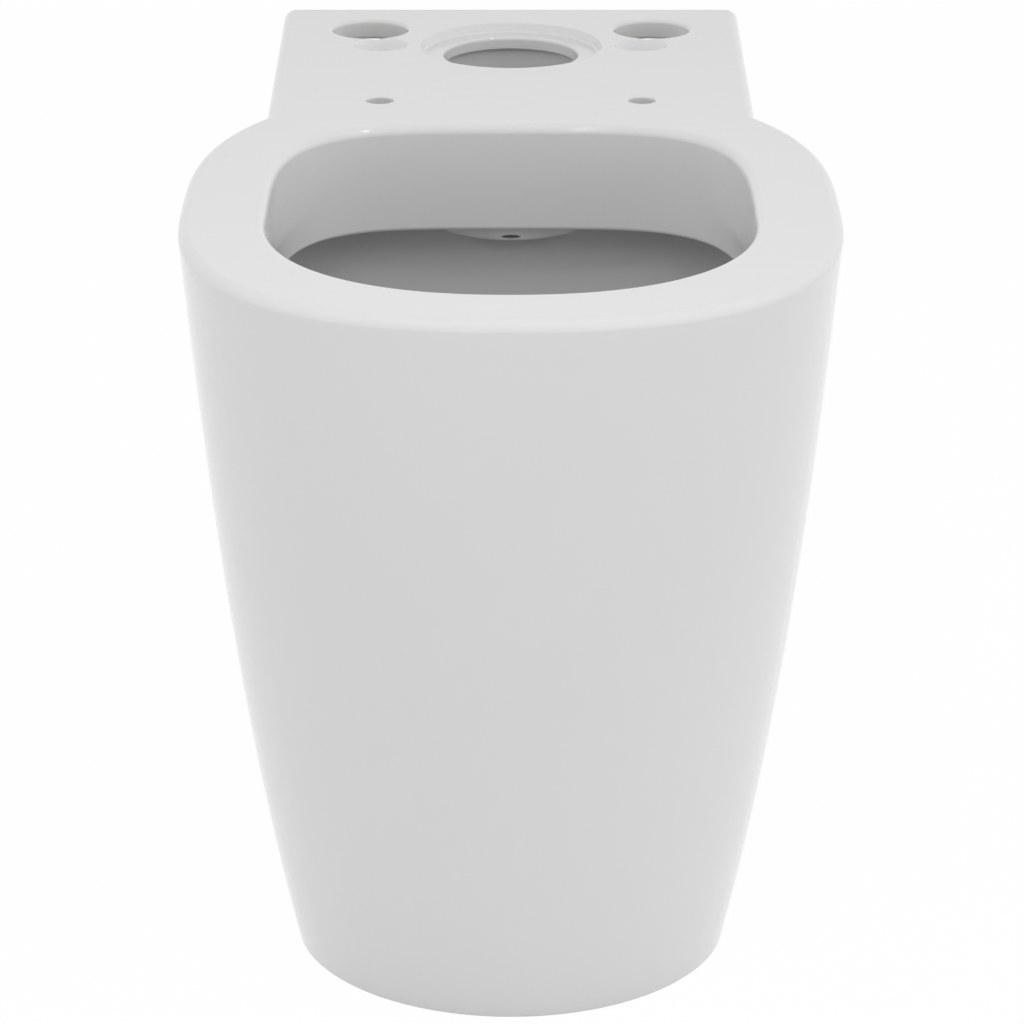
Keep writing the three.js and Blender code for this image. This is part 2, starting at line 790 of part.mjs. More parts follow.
// The cup at the bottom of the bowl, with the stub that leads to the trap
function sumpCup() {
  const top = sumpTopHeight - clearance;
  const outside = cup(offsetLine(sumpLine, sumpWall, true), sumpFloorHeight - sumpWall, top);
  const inside = cup(sumpLine, sumpFloorHeight, top + overrun);
  const stub = levelRod(trapOuterRadius, sumpFromWall, trapInletFromWall);
  const bore = levelRod(trapBoreRadius, sumpFromWall, trapInletFromWall - overrun);
  return outside.add(stub).subtract(inside).subtract(bore);
}

// A solid cup shape whose floor edge is rounded
function cup(line, bottom, top) {
  const rings = [];
  for (let step = 0; step <= edgeSteps; step += 1) {
    const angle = (step / edgeSteps) * (Math.PI / 2);
    const inset = sumpFloorRadius * (1 - Math.sin(angle));
    const height = bottom + sumpFloorRadius * (1 - Math.cos(angle));
    rings.push(offsetLine(line, -inset, true).map((point) => placed(point, height)));
  }
  rings.push(line.map((point) => placed(point, top)));
  return loft(rings);
}

// A level rod at the trap's inlet height, towards the wall
function levelRod(radius, start, end) {
  const profile = rod(radius, overallDepth / 2 - start, overallDepth / 2 - end);
  const geometry = turned(profile, tubeSides);
  geometry.translate(0, 0, trapInletHeight);
  return toSolid(geometry);
}

// The two legs of the trap meet over the weir
function trapUpleg() {
  const start = placed(new THREE.Vector2(0, trapInletFromWall - clearance), trapInletHeight);
  const end = placed(new THREE.Vector2(0, weirFromWall), trapCrownHeight);
  return bentPipe(end, start, trapBoreRadius, trapOuterRadius);
}

function trapDownleg() {
  const start = placed(new THREE.Vector2(0, weirFromWall - clearance), trapCrownHeight);
  const end = placed(new THREE.Vector2(0, outletFromWall), outletHeight);
  return bentPipe(end, start, trapBoreRadius, trapOuterRadius);
}

// The straight spout that a pan connector pushes on to
function outletSpigot() {
  const front = outletFromWall - clearance;
  const profile = pipe(
    spigotOuterRadius - spigotWall, spigotOuterRadius,
    overallDepth / 2 - front, overallDepth / 2 - front + spigotLength);
  const geometry = turned(profile, tubeSides * 2);
  geometry.translate(0, 0, outletHeight);
  return toSolid(geometry);
}

// Side fixings, made for one side at a time: -1 is left and 1 is right

// Angle bracket with a hole for a floor screw and one for the side screw
function floorBracket(side) {
  const near = fixingFromWall - bracketWidth / 2;
  const far = fixingFromWall + bracketWidth / 2;
  const span = (inner, outer) => (side > 0 ? [inner, outer] : [-outer, -inner]);
  const [footLow, footHigh] = span(bracketFace - bracketFootLength, bracketFace);
  const [uprightLow, uprightHigh] = span(bracketFace - bracketThickness, bracketFace);
  const foot = box([footLow, near, 0], [footHigh, far, bracketThickness]);
  const upright = box([uprightLow, near, 0], [uprightHigh, far, bracketUprightHeight]);
  const middle = side * (bracketFace - (bracketFootLength + bracketThickness) / 2);
  const floorHole = turnedUpright(
    rod(bracketFloorHoleRadius, -overrun, bracketThickness + overrun),
    smallHoleSides, middle, fixingFromWall);
  const sideHole = turnedSideways(
    rod(screwShankRadius + clearance, bracketFace - bracketFootLength, fixingFace),
    smallHoleSides, side);
  return foot.add(upright).subtract(floorHole).subtract(sideHole);
}

// Square nut behind the bracket's upright
function bracketNut(side) {
  const outer = bracketFace - bracketThickness - clearance;
  const ends = [side * (outer - nutThickness), side * outer].sort((a, b) => a - b);
  const block = box(
    [ends[0], fixingFromWall - nutWidth / 2, fixingHeight - nutWidth / 2],
    [ends[1], fixingFromWall + nutWidth / 2, fixingHeight + nutWidth / 2]);
  const bore = turnedSideways(
    rod(screwShankRadius + clearance, outer - nutThickness - overrun, outer + overrun),
    smallHoleSides, side);
  return block.subtract(bore);
}

// Flanged bush that fills the hole in the skirt and keeps the screw off the china
function sideBush(side) {
  const lean = fixingFace - rearHalfWidth(fixingHeight - bushFlangeRadius);
  const flangeFace = fixingInnerFace - lean - clearance;
  const profile = [
    [screwShankRadius + clearance, bracketFace + clearance],
    [bushFlangeRadius, bracketFace + clearance],
    [bushFlangeRadius, flangeFace],
    [skirtHoleRadius - clearance, flangeFace],
    [skirtHoleRadius - clearance, fixingSeat],
    [screwShankRadius + clearance, fixingSeat],
  ];
  return turnedSideways(profile, holeSides, side);
}

function sideWasher(side) {
  const bottom = fixingSeat + clearance;
  const profile = pipe(
    screwShankRadius + clearance, washerOuterRadius, bottom, bottom + washerThickness);
  return turnedSideways(profile, holeSides, side);
}

// Domed screw that runs through washer, bush and bracket into the nut
function sideScrew(side) {
  const headFoot = fixingSeat + washerThickness + 2 * clearance;
  const point = bracketFace - bracketThickness - nutThickness - screwPointLength;
  const profile = [
    [0, point],
    [screwShankRadius - screwPointLength / 2, point],
    [screwShankRadius, point + screwPointLength],
    [screwShankRadius, headFoot],
    [screwHeadRadius, headFoot],
    [screwHeadRadius, headFoot + screwHeadHeight / 2],
    [screwHeadRadius / 2, headFoot + screwHeadHeight],
    [0, headFoot + screwHeadHeight],
  ];
  return turnedSideways(profile, smallHoleSides * 2, side);
}

// Push-on cap over the screw head
function coverCap(side) {
  const foot = fixingSeat + clearance;
  const top = foot + capHeight;
  const profile = [
    [capRadius - capWall, foot],
    [capRadius, foot],
    [capRadius, top - capEdgeRadius],
    [capRadius - capEdgeRadius, top],
    [0, top],
    [0, top - capWall],
    [capRadius - capWall, top - capWall],
  ];
  return turnedSideways(profile, holeSides, side);
}

// Finishes
const finishes = {
  glaze: { color: 0xf3f3f1, roughness: 0.08, metalness: 0 },
  biscuit: { color: 0xdcd8cf, roughness: 0.85, metalness: 0 },
  plastic: { color: 0xe9e9e7, roughness: 0.4, metalness: 0 },
  steel: { color: 0xb9bcc0, roughness: 0.35, metalness: 0.9 },
};

// A named mesh from a solid
function piece(name, solid, finish) {
  const { vertProperties, triVerts } = solid.getMesh();
  const geometry = new THREE.BufferGeometry();
  geometry.setAttribute("position", new THREE.BufferAttribute(vertProperties, 3));
  geometry.setIndex(new THREE.BufferAttribute(triVerts, 1));
  geometry.computeVertexNormals();
  const mesh = new THREE.Mesh(geometry, new THREE.MeshStandardMaterial(finish));
  mesh.name = name;
  return mesh;
}

// Assembly
const pan = new THREE.Group();
pan.add(
  piece("rim_ring", rimRing(), finishes.glaze),
  piece("cistern_deck", cisternDeck(), finishes.glaze),
  piece("skirt_shell", skirtShell(), finishes.glaze),
  piece("rim_collar", rimCollar(), finishes.glaze),
  piece("bowl_basin", bowlBasin(), finishes.glaze),
  piece("rim_channel_floor", rimChannelFloor(), finishes.glaze),
  piece("jet_nose", jetNose(), finishes.glaze),
  piece("flush_chamber", flushChamber(), finishes.glaze),
  piece("sump_cup", sumpCup(), finishes.glaze),
  piece("trap_upleg", trapUpleg(), finishes.glaze),
  piece("trap_downleg", trapDownleg(), finishes.glaze),
  piece("outlet_spigot", outletSpigot(), finishes.biscuit),
);
for (const [side, label] of [[-1, "left"], [1, "right"]]) {
  const fixings = new THREE.Group();
  fixings.add(
    piece(`floor_bracket_${label}`, floorBracket(side), finishes.steel),
    piece(`bracket_nut_${label}`, bracketNut(side), finishes.plastic),
    piece(`side_bush_${label}`, sideBush(side), finishes.plastic),
    piece(`side_washer_${label}`, sideWasher(side), finishes.steel),
    piece(`side_screw_${label}`, sideScrew(side), finishes.steel),
    piece(`cover_cap_${label}`, coverCap(side), finishes.plastic),
  );
  pan.add(fixings);
}

export default pan;
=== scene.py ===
# Raised-height toilet pan of white glazed china, back to the wall, with its side fixings.
import json
import math

import bmesh
import bpy
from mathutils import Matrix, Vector


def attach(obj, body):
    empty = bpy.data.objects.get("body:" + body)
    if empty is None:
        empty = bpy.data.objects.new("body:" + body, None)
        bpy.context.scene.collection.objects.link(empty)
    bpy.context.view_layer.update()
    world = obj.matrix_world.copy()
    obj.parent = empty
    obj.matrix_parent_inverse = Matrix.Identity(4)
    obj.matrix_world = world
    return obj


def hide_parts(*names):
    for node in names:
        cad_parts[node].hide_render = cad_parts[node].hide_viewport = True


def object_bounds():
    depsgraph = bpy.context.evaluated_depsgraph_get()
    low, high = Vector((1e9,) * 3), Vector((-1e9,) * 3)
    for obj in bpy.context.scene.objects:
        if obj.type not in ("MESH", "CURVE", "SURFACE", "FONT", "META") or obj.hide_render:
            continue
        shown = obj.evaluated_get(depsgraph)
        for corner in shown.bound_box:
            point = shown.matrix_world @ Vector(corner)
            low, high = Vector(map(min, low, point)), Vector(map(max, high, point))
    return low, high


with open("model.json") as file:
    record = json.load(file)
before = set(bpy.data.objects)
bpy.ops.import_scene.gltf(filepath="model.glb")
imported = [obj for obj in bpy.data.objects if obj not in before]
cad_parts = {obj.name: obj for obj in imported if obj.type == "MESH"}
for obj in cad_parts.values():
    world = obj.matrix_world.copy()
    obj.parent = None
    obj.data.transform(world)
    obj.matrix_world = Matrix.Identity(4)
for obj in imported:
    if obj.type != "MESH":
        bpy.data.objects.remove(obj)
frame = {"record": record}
cad_low, cad_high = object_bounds()

# The body that each node of the frame rides on
record = frame["record"]
BODY_OF = {node: name for name, nodes in record["behaviour"]["bodies"].items() for node in nodes}

# Sizes in metres. "From wall" is a distance from the wall plane towards the front of the pan.
PAN_HEIGHT = cad_high[2]
PAN_HALF_WIDTH = cad_high[0]
PAN_DEPTH = cad_high[1] - cad_low[1]
WALL_PLACE = cad_high[1]

# Outer shape, as in the frame
FOOT_HALF_WIDTH = 0.124
FOOT_FRONT = 0.536
DECK_HALF_WIDTH = 0.143
SHOULDER_FROM_WALL = 0.259
TOP_EDGE_ROUND = 0.0064
REAR_EDGE_REACH = 0.0025
REAR_CORNER_RADIUS = 0.008
FOOT_EDGE_ROUND = 0.0015
SHOULDER_SOFTNESS = 0.001
FOOT_WIDEST_SHARE = 0.527
TOP_WIDEST_SHARE = 0.474
SIDE_LEANS = (0.217, 0.081)
FRONT_LEANS = (0.42, 0.16)
DECK_LEANS = (0.08, 0.01)
FRONT_POWERS = (1.98, 2.46)
SHOULDER_POWER = 3.23

# China thicknesses
TOP_THICKNESS = 0.0127
SKIRT_WALL = 0.012
BOWL_WALL = 0.008
CAVITY_FILLET = 0.006
REAR_RETURN = 0.003
REAR_OPENING_CORNER = 0.018

# Bowl opening and flushing rim
RIM_SIDE_BREADTH = 0.0432
RIM_FRONT_BREADTH = 0.047
RIM_REAR_BREADTH = 0.019
OPENING_EDGE_ROUND = 0.005
OPENING_WIDEST_SHARE = 0.554
OPENING_REAR_POWER = 3.97
OPENING_FRONT_POWER = 2.27
CURTAIN_DROP = 0.0628
CURTAIN_THICKNESS = 0.009
CURTAIN_EDGE_ROUND = 0.0025
CHANNEL_WIDTH = 0.012
CHANNEL_FLOOR_THICKNESS = 0.008
WASH_HOLE_RADIUS = 0.003
WASH_HOLE_SPACING = 0.032

# Jet nose under the back of the channel
NOSE_HALF_WIDTH = 0.039
NOSE_REACH = 0.014
NOSE_DROP = 0.0098
NOSE_POWER = 4
NOSE_END_SHARE = 0.97
JET_SLOT_WIDTH = 0.0112
JET_SLOT_HEIGHT = 0.0024
JET_SLOT_DROP = 0.0058
JET_FEED_RADIUS = 0.0035

# Holes of the cistern deck
BOLT_HOLE_SPACING = 0.175
BOLT_HOLE_FROM_WALL = 0.0515
BOLT_HOLE_RADIUS = 0.0232
BOLT_HOLE_EDGE = 0.0025
DIMPLE_SPACING = 0.160
DIMPLE_FROM_WALL = 0.0905
DIMPLE_RADIUS = 0.017
DIMPLE_DEPTH = 0.006
DIMPLE_POWER = 8
DIMPLE_EDGE_SHARE = 0.98
DIMPLE_EDGE_SOFTNESS = 0.0002
DIMPLE_LIP_POWER = 12
INLET_FROM_WALL = 0.092
INLET_RECESS_RADIUS = 0.0566
INLET_LEDGE_DEPTH = 0.0055
INLET_HOLE_RADIUS = 0.041
INLET_EDGE = 0.002
INLET_WALL_LEAN = 0.001
INLET_WALL_FOOT = 0.002
INLET_WALL_TOP = 0.0012
HINGE_HOLE_SPACING = 0.155
HINGE_HOLE_FROM_WALL = 0.2234
HINGE_HOLE_RADIUS = 0.008
HINGE_HOLE_EDGE = 0.0012

# Flush chamber
CHAMBER_HALF_WIDTH = 0.045
CHAMBER_DEPTH = 0.0823
CHAMBER_WALL = 0.0075
CHAMBER_CORNER = 0.014
WINDOW_HALF_WIDTH = 0.041
WINDOW_LINTEL = 0.006

# Sump and trap
SUMP_FROM_WALL = 0.400
SUMP_HALF_WIDTH = 0.048
SUMP_HALF_LENGTH = 0.056
SUMP_FLOOR_HEIGHT = 0.078
SUMP_TOP_HEIGHT = 0.172
SUMP_FLOOR_ROUND = 0.022
TRAP_BORE = 0.038
TRAP_WALL = 0.008
TRAP_INLET_FROM_WALL = 0.333
TRAP_RISE = 0.127
TRAP_RUN = 0.118
OUTLET_FALL = 0.053
OUTLET_RUN = 0.105
SPIGOT_RADIUS = 0.051
SPIGOT_WALL = 0.008
SPIGOT_LENGTH = 0.040
SPIGOT_EDGE = 0.002
SPIGOT_RIB_SHARES = (0.35, 0.65)

# Side fixings
FIXING_FROM_WALL = 0.150
FIXING_HEIGHT = 0.055
SKIRT_HOLE_RADIUS = 0.007
CAP_RECESS_RADIUS = 0.0125
CAP_RECESS_DEPTH = 0.0025
CAP_RADIUS = 0.012
CAP_HEIGHT = 0.007
CAP_WALL = 0.002
CAP_CROWN = 0.0006
CAP_EDGE_ROUND = 0.0015
SCREW_RADIUS = 0.0035
SCREW_POINT = 0.003
SCREW_HEAD_RADIUS = 0.0062
SCREW_HEAD_HEIGHT = 0.0028
THREAD_PITCH = 0.0016
THREAD_DEPTH = 0.0005
THREAD_CREST_SHARES = (0.4, 0.6)
CROSS_LENGTH = 0.0046
CROSS_WIDTH = 0.0011
CROSS_DEPTH = 0.0018
WASHER_RADIUS = 0.008
WASHER_THICKNESS = 0.0012
BUSH_FLANGE_RADIUS = 0.011
BRACKET_STEEL = 0.005
BRACKET_FOOT = 0.042
BRACKET_RISE = 0.078
BRACKET_WIDTH = 0.050
BRACKET_BEND = 0.008
BRACKET_CORNER = 0.007
FLOOR_HOLE_RADIUS = 0.0045
NUT_WIDTH = 0.018
NUT_THICKNESS = 0.009
FINE_EDGE = 0.0004

# Clearance between touching pieces, and how far a cutting tool runs on past what it cuts
GAP = 0.0003
OVERRUN = 0.01

# How finely the curves are stepped
REAR_STEPS = 12
CORNER_STEPS = 6
DECK_STEPS = 16
FILLET_STEPS = 16
SHOULDER_STEPS = 34
FRONT_STEPS = 60
WALL_ROWS = 48
ROUND_STEPS = 8
INNER_ROUND_STEPS = 4
FOOT_ROUND_STEPS = 3
HOLE_STEPS = 96
SMALL_HOLE_STEPS = 48
TRAP_BEND_STEPS = 24

# Limits for the modelling tools, angles in degrees
MERGE_DISTANCE = 1e-6
SMOOTH_ANGLE = 35
FINE_EDGE_ANGLE = 40
STRAIGHT_SHARE = 0.9

# Worked out from the sizes above
TOP_EDGE_HEIGHT = PAN_HEIGHT - TOP_EDGE_ROUND
UNDERSIDE = PAN_HEIGHT - TOP_THICKNESS
CURTAIN_FOOT = PAN_HEIGHT - CURTAIN_DROP
CURTAIN_BACK = OPENING_EDGE_ROUND - CURTAIN_THICKNESS
COLLAR_FACE = CURTAIN_BACK - CHANNEL_WIDTH
COLLAR_BACK = COLLAR_FACE - BOWL_WALL
OPENING_HALF_WIDTH = PAN_HALF_WIDTH - RIM_SIDE_BREADTH
OPENING_REAR = SHOULDER_FROM_WALL + RIM_REAR_BREADTH
OPENING_FRONT = PAN_DEPTH - RIM_FRONT_BREADTH
OPENING_WIDEST = OPENING_REAR + (OPENING_FRONT - OPENING_REAR) * OPENING_WIDEST_SHARE
COLLAR_FROM_WALL = OPENING_REAR + COLLAR_FACE
JET_FEED_FROM_WALL = COLLAR_FROM_WALL + CHANNEL_WIDTH / 2


# Lines in plan: a point is (x, distance from the wall)

def mix(start, end, share):
    return start + (end - start) * share


def up_the_wall(foot, top, leans, height):
    """A size on its smooth way up the outer wall, with a lean at each end."""
    rise = min(height / TOP_EDGE_HEIGHT, 1)
    ends = (2 * rise**3 - 3 * rise**2 + 1) * foot + (3 * rise**2 - 2 * rise**3) * top
    foot_lean = (rise**3 - 2 * rise**2 + rise) * leans[0]
    top_lean = (rise**3 - rise**2) * leans[1]
    return ends + (foot_lean + top_lean) * TOP_EDGE_HEIGHT


def deck_half(height):
    return up_the_wall(FOOT_HALF_WIDTH, DECK_HALF_WIDTH, DECK_LEANS, height)


def mirrored(left):
    """A left half that starts and ends on the middle line, closed by its mirror image."""
    return left + [(-x, y) for x, y in reversed(left[1:-1])]


def outline(height, inset=0.0, rear_inset=None):
    """The outside of the pan at one height, from the middle of the rear round the left side."""
    rear = inset if rear_inset is None else rear_inset
    rise = min(height / TOP_EDGE_HEIGHT, 1)
    half = up_the_wall(FOOT_HALF_WIDTH, PAN_HALF_WIDTH, SIDE_LEANS, height) - inset
    front = up_the_wall(FOOT_FRONT, PAN_DEPTH, FRONT_LEANS, height) - inset
    widest = mix(
        mix(SHOULDER_FROM_WALL, FOOT_FRONT, FOOT_WIDEST_SHARE),
        mix(SHOULDER_FROM_WALL, PAN_DEPTH, TOP_WIDEST_SHARE), rise)
    deck = deck_half(height) - inset
    corner = max(REAR_CORNER_RADIUS - inset, REAR_EDGE_REACH)
    points = [(-(deck - corner) * step / REAR_STEPS, rear) for step in range(REAR_STEPS)]
    for step in range(CORNER_STEPS + 1):
        angle = math.pi / 2 * step / CORNER_STEPS
        points.append((
            -(deck - corner * (1 - math.sin(angle))),
            rear + corner * (1 - math.cos(angle))))

    def softened(swell):
        return (swell + math.hypot(swell, SHOULDER_SOFTNESS)) / 2

    full = half - deck

    def side_point(place):
        share = (place - SHOULDER_FROM_WALL) / (widest - SHOULDER_FROM_WALL)
        swell = full * (1 - (1 - share)**SHOULDER_POWER)
        return (-(deck + softened(swell) * full / softened(full)), place)

    fillet_reach = REAR_CORNER_RADIUS * 2
    places = [rear + corner]
    for stretch_end, steps in (
            (SHOULDER_FROM_WALL - fillet_reach, DECK_STEPS),
            (SHOULDER_FROM_WALL + fillet_reach, FILLET_STEPS),
            (widest, SHOULDER_STEPS)):
        start = places[-1]
        places += [mix(start, stretch_end, (step + 1) / steps) for step in range(steps)]
    points += [side_point(place) for place in places[1:]]
    power = mix(*FRONT_POWERS, rise)
    widest_half = -points[-1][0]
    for step in range(1, FRONT_STEPS + 1):
        angle = math.pi / 2 * step / FRONT_STEPS
        across = widest_half * max(math.cos(angle), 0)**(2 / power)
        points.append((-across, widest + (front - widest) * math.sin(angle)**(2 / power)))
    points[-1] = (0.0, front)
    return mirrored(points)


TOP_OUTLINE = outline(PAN_HEIGHT)


def in_step(half_width, rear_reach, front_reach, powers, middle):
    """A rounded loop whose points lie in the directions of the pan's outline."""
    loop = []
    for x, place in TOP_OUTLINE:
        across, along = x, place - OPENING_WIDEST
        reach, power = (rear_reach, powers[0]) if along < 0 else (front_reach, powers[1])
        size = (abs(across / half_width)**power + abs(along / reach)**power)**(1 / power)
        loop.append((across / size, middle + along / size))
    return loop


def opening_line(inset):
    """The edge of the bowl opening, moved inwards."""
    return in_step(
        OPENING_HALF_WIDTH - inset, OPENING_WIDEST - OPENING_REAR - inset,
        OPENING_FRONT - OPENING_WIDEST - inset,
        (OPENING_REAR_POWER, OPENING_FRONT_POWER), OPENING_WIDEST)


def sump_line(inset=0.0):
    length = SUMP_HALF_LENGTH - inset
    return in_step(SUMP_HALF_WIDTH - inset, length, length, (2, 2), SUMP_FROM_WALL)


def at(point, height):
    """A plan point at its place in the model."""
    return Vector((point[0], WALL_PLACE - point[1], height))


def row(line, height):
    return [at(point, height) for point in line]


def quarter(steps=ROUND_STEPS):
    """Sine and cosine round a quarter turn."""
    angles = [math.pi / 2 * step / steps for step in range(steps + 1)]
    return [(math.sin(angle), math.cos(angle)) for angle in angles]


# Modelling by hand: one active piece, edit mode operators, applied modifiers

def only(piece):
    bpy.ops.object.select_all(action="DESELECT")
    piece.select_set(True)
    bpy.context.view_layer.objects.active = piece
    return piece


def named(piece, name):
    piece.name = name
    piece.data.name = name
    return piece


def edit(piece, select="SELECT"):
    only(piece)
    bpy.ops.object.mode_set(mode="EDIT")
    bpy.ops.mesh.select_mode(type="VERT")
    bpy.ops.mesh.select_all(action=select)
    return bmesh.from_edit_mesh(piece.data)


def leave_edit():
    bpy.ops.object.mode_set(mode="OBJECT")


def merge_doubles():
    """In edit mode: points that lie on each other become one."""
    bpy.ops.mesh.select_all(action="SELECT")
    bpy.ops.mesh.remove_doubles(threshold=MERGE_DISTANCE)


def turn_faces(inside=False):
    """In edit mode: all faces point outwards, or inwards."""
    bpy.ops.mesh.select_all(action="SELECT")
    bpy.ops.mesh.normals_make_consistent(inside=inside)


def skin(name, rows, closed=False, filled=True):
    """A skin drawn ring by ring: the last ring is extruded and the new one is set on its line.

    A closed skin comes back to its first ring. An open one has its two ends filled, if asked.
    """
    bpy.ops.object.select_all(action="DESELECT")
    bpy.ops.mesh.primitive_circle_add(vertices=len(rows[0]), fill_type="NOTHING")
    piece = named(bpy.context.object, name)
    mesh = edit(piece)
    for layer in ("station", "ring"):
        mesh.verts.layers.int.new(layer)
    station = mesh.verts.layers.int["station"]
    mesh.verts.ensure_lookup_table()
    for index, vertex in enumerate(mesh.verts):
        vertex[station] = index
        vertex.co = rows[0][index]
    for number, line in enumerate(rows[1:] + (rows[:1] if closed else []), 1):
        bpy.ops.mesh.extrude_edges_move()
        mesh = bmesh.from_edit_mesh(piece.data)
        station, ring = (mesh.verts.layers.int[layer] for layer in ("station", "ring"))
        for vertex in mesh.verts:
            if vertex.select:
                vertex.co = line[vertex[station]]
                vertex[ring] = number
    bmesh.update_edit_mesh(piece.data)
    merge_doubles()
    if filled and not closed:
        bpy.ops.mesh.select_all(action="DESELECT")
        bpy.ops.mesh.select_non_manifold()
        bpy.ops.mesh.edge_face_add()
    turn_faces()
    leave_edit()
    return piece


def turned(name, profile, steps=HOLE_STEPS, closed=False):
    """A profile of radius and height pairs, drawn point by point and spun round the Z axis."""
    bpy.ops.object.select_all(action="DESELECT")
    bpy.ops.mesh.primitive_plane_add(size=1)
    piece = named(bpy.context.object, name)
    edit(piece)
    bpy.ops.mesh.merge(type="CENTER")
    points = [Vector((radius, 0, height)) for radius, height in profile]
    bpy.ops.transform.translate(value=points[0])
    for before, after in zip(points, points[1:] + (points[:1] if closed else [])):
        bpy.ops.mesh.extrude_vertices_move(TRANSFORM_OT_translate={"value": after - before})
    bpy.ops.mesh.select_all(action="SELECT")
    bpy.ops.mesh.spin(steps=steps, angle=2 * math.pi, center=(0, 0, 0), axis=(0, 0, 1))
    merge_doubles()
    turn_faces()
    leave_edit()
    return piece


def settle(piece, place, turn=(0, 0, 0)):
    """Moves a piece to its place and leaves its object at the origin."""
    only(piece)
    piece.location = place
    piece.rotation_euler = turn
    bpy.ops.object.transform_apply(location=True, rotation=True, scale=True)
    return piece


def block(name, low, high):
    """A box between two corners, its edges still to be rounded or cut."""
    bpy.ops.object.select_all(action="DESELECT")
    middle = [(a + b) / 2 for a, b in zip(low, high)]
    size = [b - a for a, b in zip(low, high)]
    bpy.ops.mesh.primitive_cube_add(size=1, location=middle, scale=size)
    piece = named(bpy.context.object, name)
    bpy.ops.object.transform_apply(location=True, rotation=True, scale=True)
    return piece


def apply(piece, kind, **settings):
    """Adds a modifier, sets it and applies it."""
    only(piece)
    modifier = piece.modifiers.new(kind.lower(), kind)
    for key, value in settings.items():
        setattr(modifier, key, value)
    bpy.ops.object.modifier_apply(modifier=modifier.name)
    return piece


def combine(piece, other, operation):
    """A boolean with another piece, which is used up."""
    apply(piece, "BOOLEAN", object=other, operation=operation, solver="MANIFOLD")
    bpy.data.objects.remove(other)
    return piece


def cut(piece, *tools):
    for tool in tools:
        combine(piece, tool, "DIFFERENCE")
    return piece


def joined(pieces):
    """Separate pieces joined into one object, to cut with all of them at once."""
    bpy.ops.object.select_all(action="DESELECT")
    for piece in pieces:
        piece.select_set(True)
    bpy.context.view_layer.objects.active = pieces[0]
    bpy.ops.object.join()
    return pieces[0]


def runs_along(edge, axis):
    """Whether an edge lies along axis 0, 1 or 2, which are X, Y and Z."""
    direction = (edge.verts[1].co - edge.verts[0].co).normalized()
    return abs(direction[axis]) > STRAIGHT_SHARE


def bevel_edges(piece, test, width, segments):
    """Rounds the edges that pass the test."""
    mesh = edit(piece, "DESELECT")
    bpy.ops.mesh.select_mode(type="EDGE")
    for edge in mesh.edges:
        edge.select_set(bool(test(edge)))
    bmesh.update_edit_mesh(piece.data)
    bpy.ops.mesh.bevel(offset=width, segments=segments, affect="EDGES", clamp_overlap=True)
    leave_edit()


def soft_shading(piece):
    """Smooth faces whose normals follow the larger face at each rounded edge."""
    only(piece)
    bpy.ops.object.shade_smooth_by_angle(
        angle=math.radians(SMOOTH_ANGLE), keep_sharp_edges=False)
    apply(piece, "WEIGHTED_NORMAL", mode="FACE_AREA", weight=100, keep_sharp=True)


def coated(piece, materials, index=0):
    """Gives a piece its materials, and all its faces the one with that index."""
    piece.data.materials.clear()
    for material in materials:
        piece.data.materials.append(material)
    for polygon in piece.data.polygons:
        polygon.material_index = index
    return piece


def coated_beyond(piece, ring_number, index):
    """Gives the faces beyond one of a skin's rings the material with that index."""
    rings = piece.data.attributes["ring"].data
    for polygon in piece.data.polygons:
        if max(rings[vertex].value for vertex in polygon.vertices) > ring_number:
            polygon.material_index = index


def dress(piece, *nodes):
    """Shades a piece and puts it in the place of the frame's nodes."""
    soft_shading(piece)
    bpy.ops.object.material_slot_remove_unused()
    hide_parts(*nodes)
    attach(piece, BODY_OF[nodes[0]])


# Finishes

def socket(group, name, direction, value=None):
    item = group.interface.new_socket(
        name=name, in_out=direction, socket_type="NodeSocketFloat")
    if value is not None:
        item.default_value = value


def maths(nodes, links, operation, *terms, clamp=False):
    """The result of a Math node whose terms are numbers or the outputs of other nodes."""
    node = nodes.new("ShaderNodeMath")
    node.operation = operation
    node.use_clamp = clamp
    for entry, term in zip(node.inputs, terms):
        if isinstance(term, (int, float)):
            entry.default_value = term
        else:
            links.new(term, entry)
    return node.outputs["Value"]


def fired_surface():
    """Group: the waviness, fine specks and cloudy tone of a fired or moulded surface."""
    group = bpy.data.node_groups.new("fired_surface", "ShaderNodeTree")
    for name, value in (
            ("Wave Scale", 14.0), ("Speck Scale", 900.0), ("Cloud Scale", 5.0),
            ("Upright Stretch", 1.0)):
        socket(group, name, "INPUT", value)
    for name in ("Wave", "Speck", "Cloud"):
        socket(group, name, "OUTPUT")
    nodes, links = group.nodes, group.links
    given = nodes.new("NodeGroupInput")
    result = nodes.new("NodeGroupOutput")
    place = nodes.new("ShaderNodeTexCoord")
    stretch = nodes.new("ShaderNodeCombineXYZ")
    stretch.inputs["X"].default_value = 1
    stretch.inputs["Y"].default_value = 1
    links.new(given.outputs["Upright Stretch"], stretch.inputs["Z"])
    scaled = nodes.new("ShaderNodeVectorMath")
    scaled.operation = "MULTIPLY"
    links.new(place.outputs["Object"], scaled.inputs[0])
    links.new(stretch.outputs["Vector"], scaled.inputs[1])
    for name, vector, detail in (
            ("Wave", scaled.outputs["Vector"], 2.0),
            ("Speck", place.outputs["Object"], 3.0),
            ("Cloud", place.outputs["Object"], 4.0)):
        noise = nodes.new("ShaderNodeTexNoise")
        noise.inputs["Detail"].default_value = detail
        links.new(vector, noise.inputs["Vector"])
        links.new(given.outputs[f"{name} Scale"], noise.inputs["Scale"])
        links.new(noise.outputs["Fac"], result.inputs[name])
    return group


FIRED_SURFACE = fired_surface()


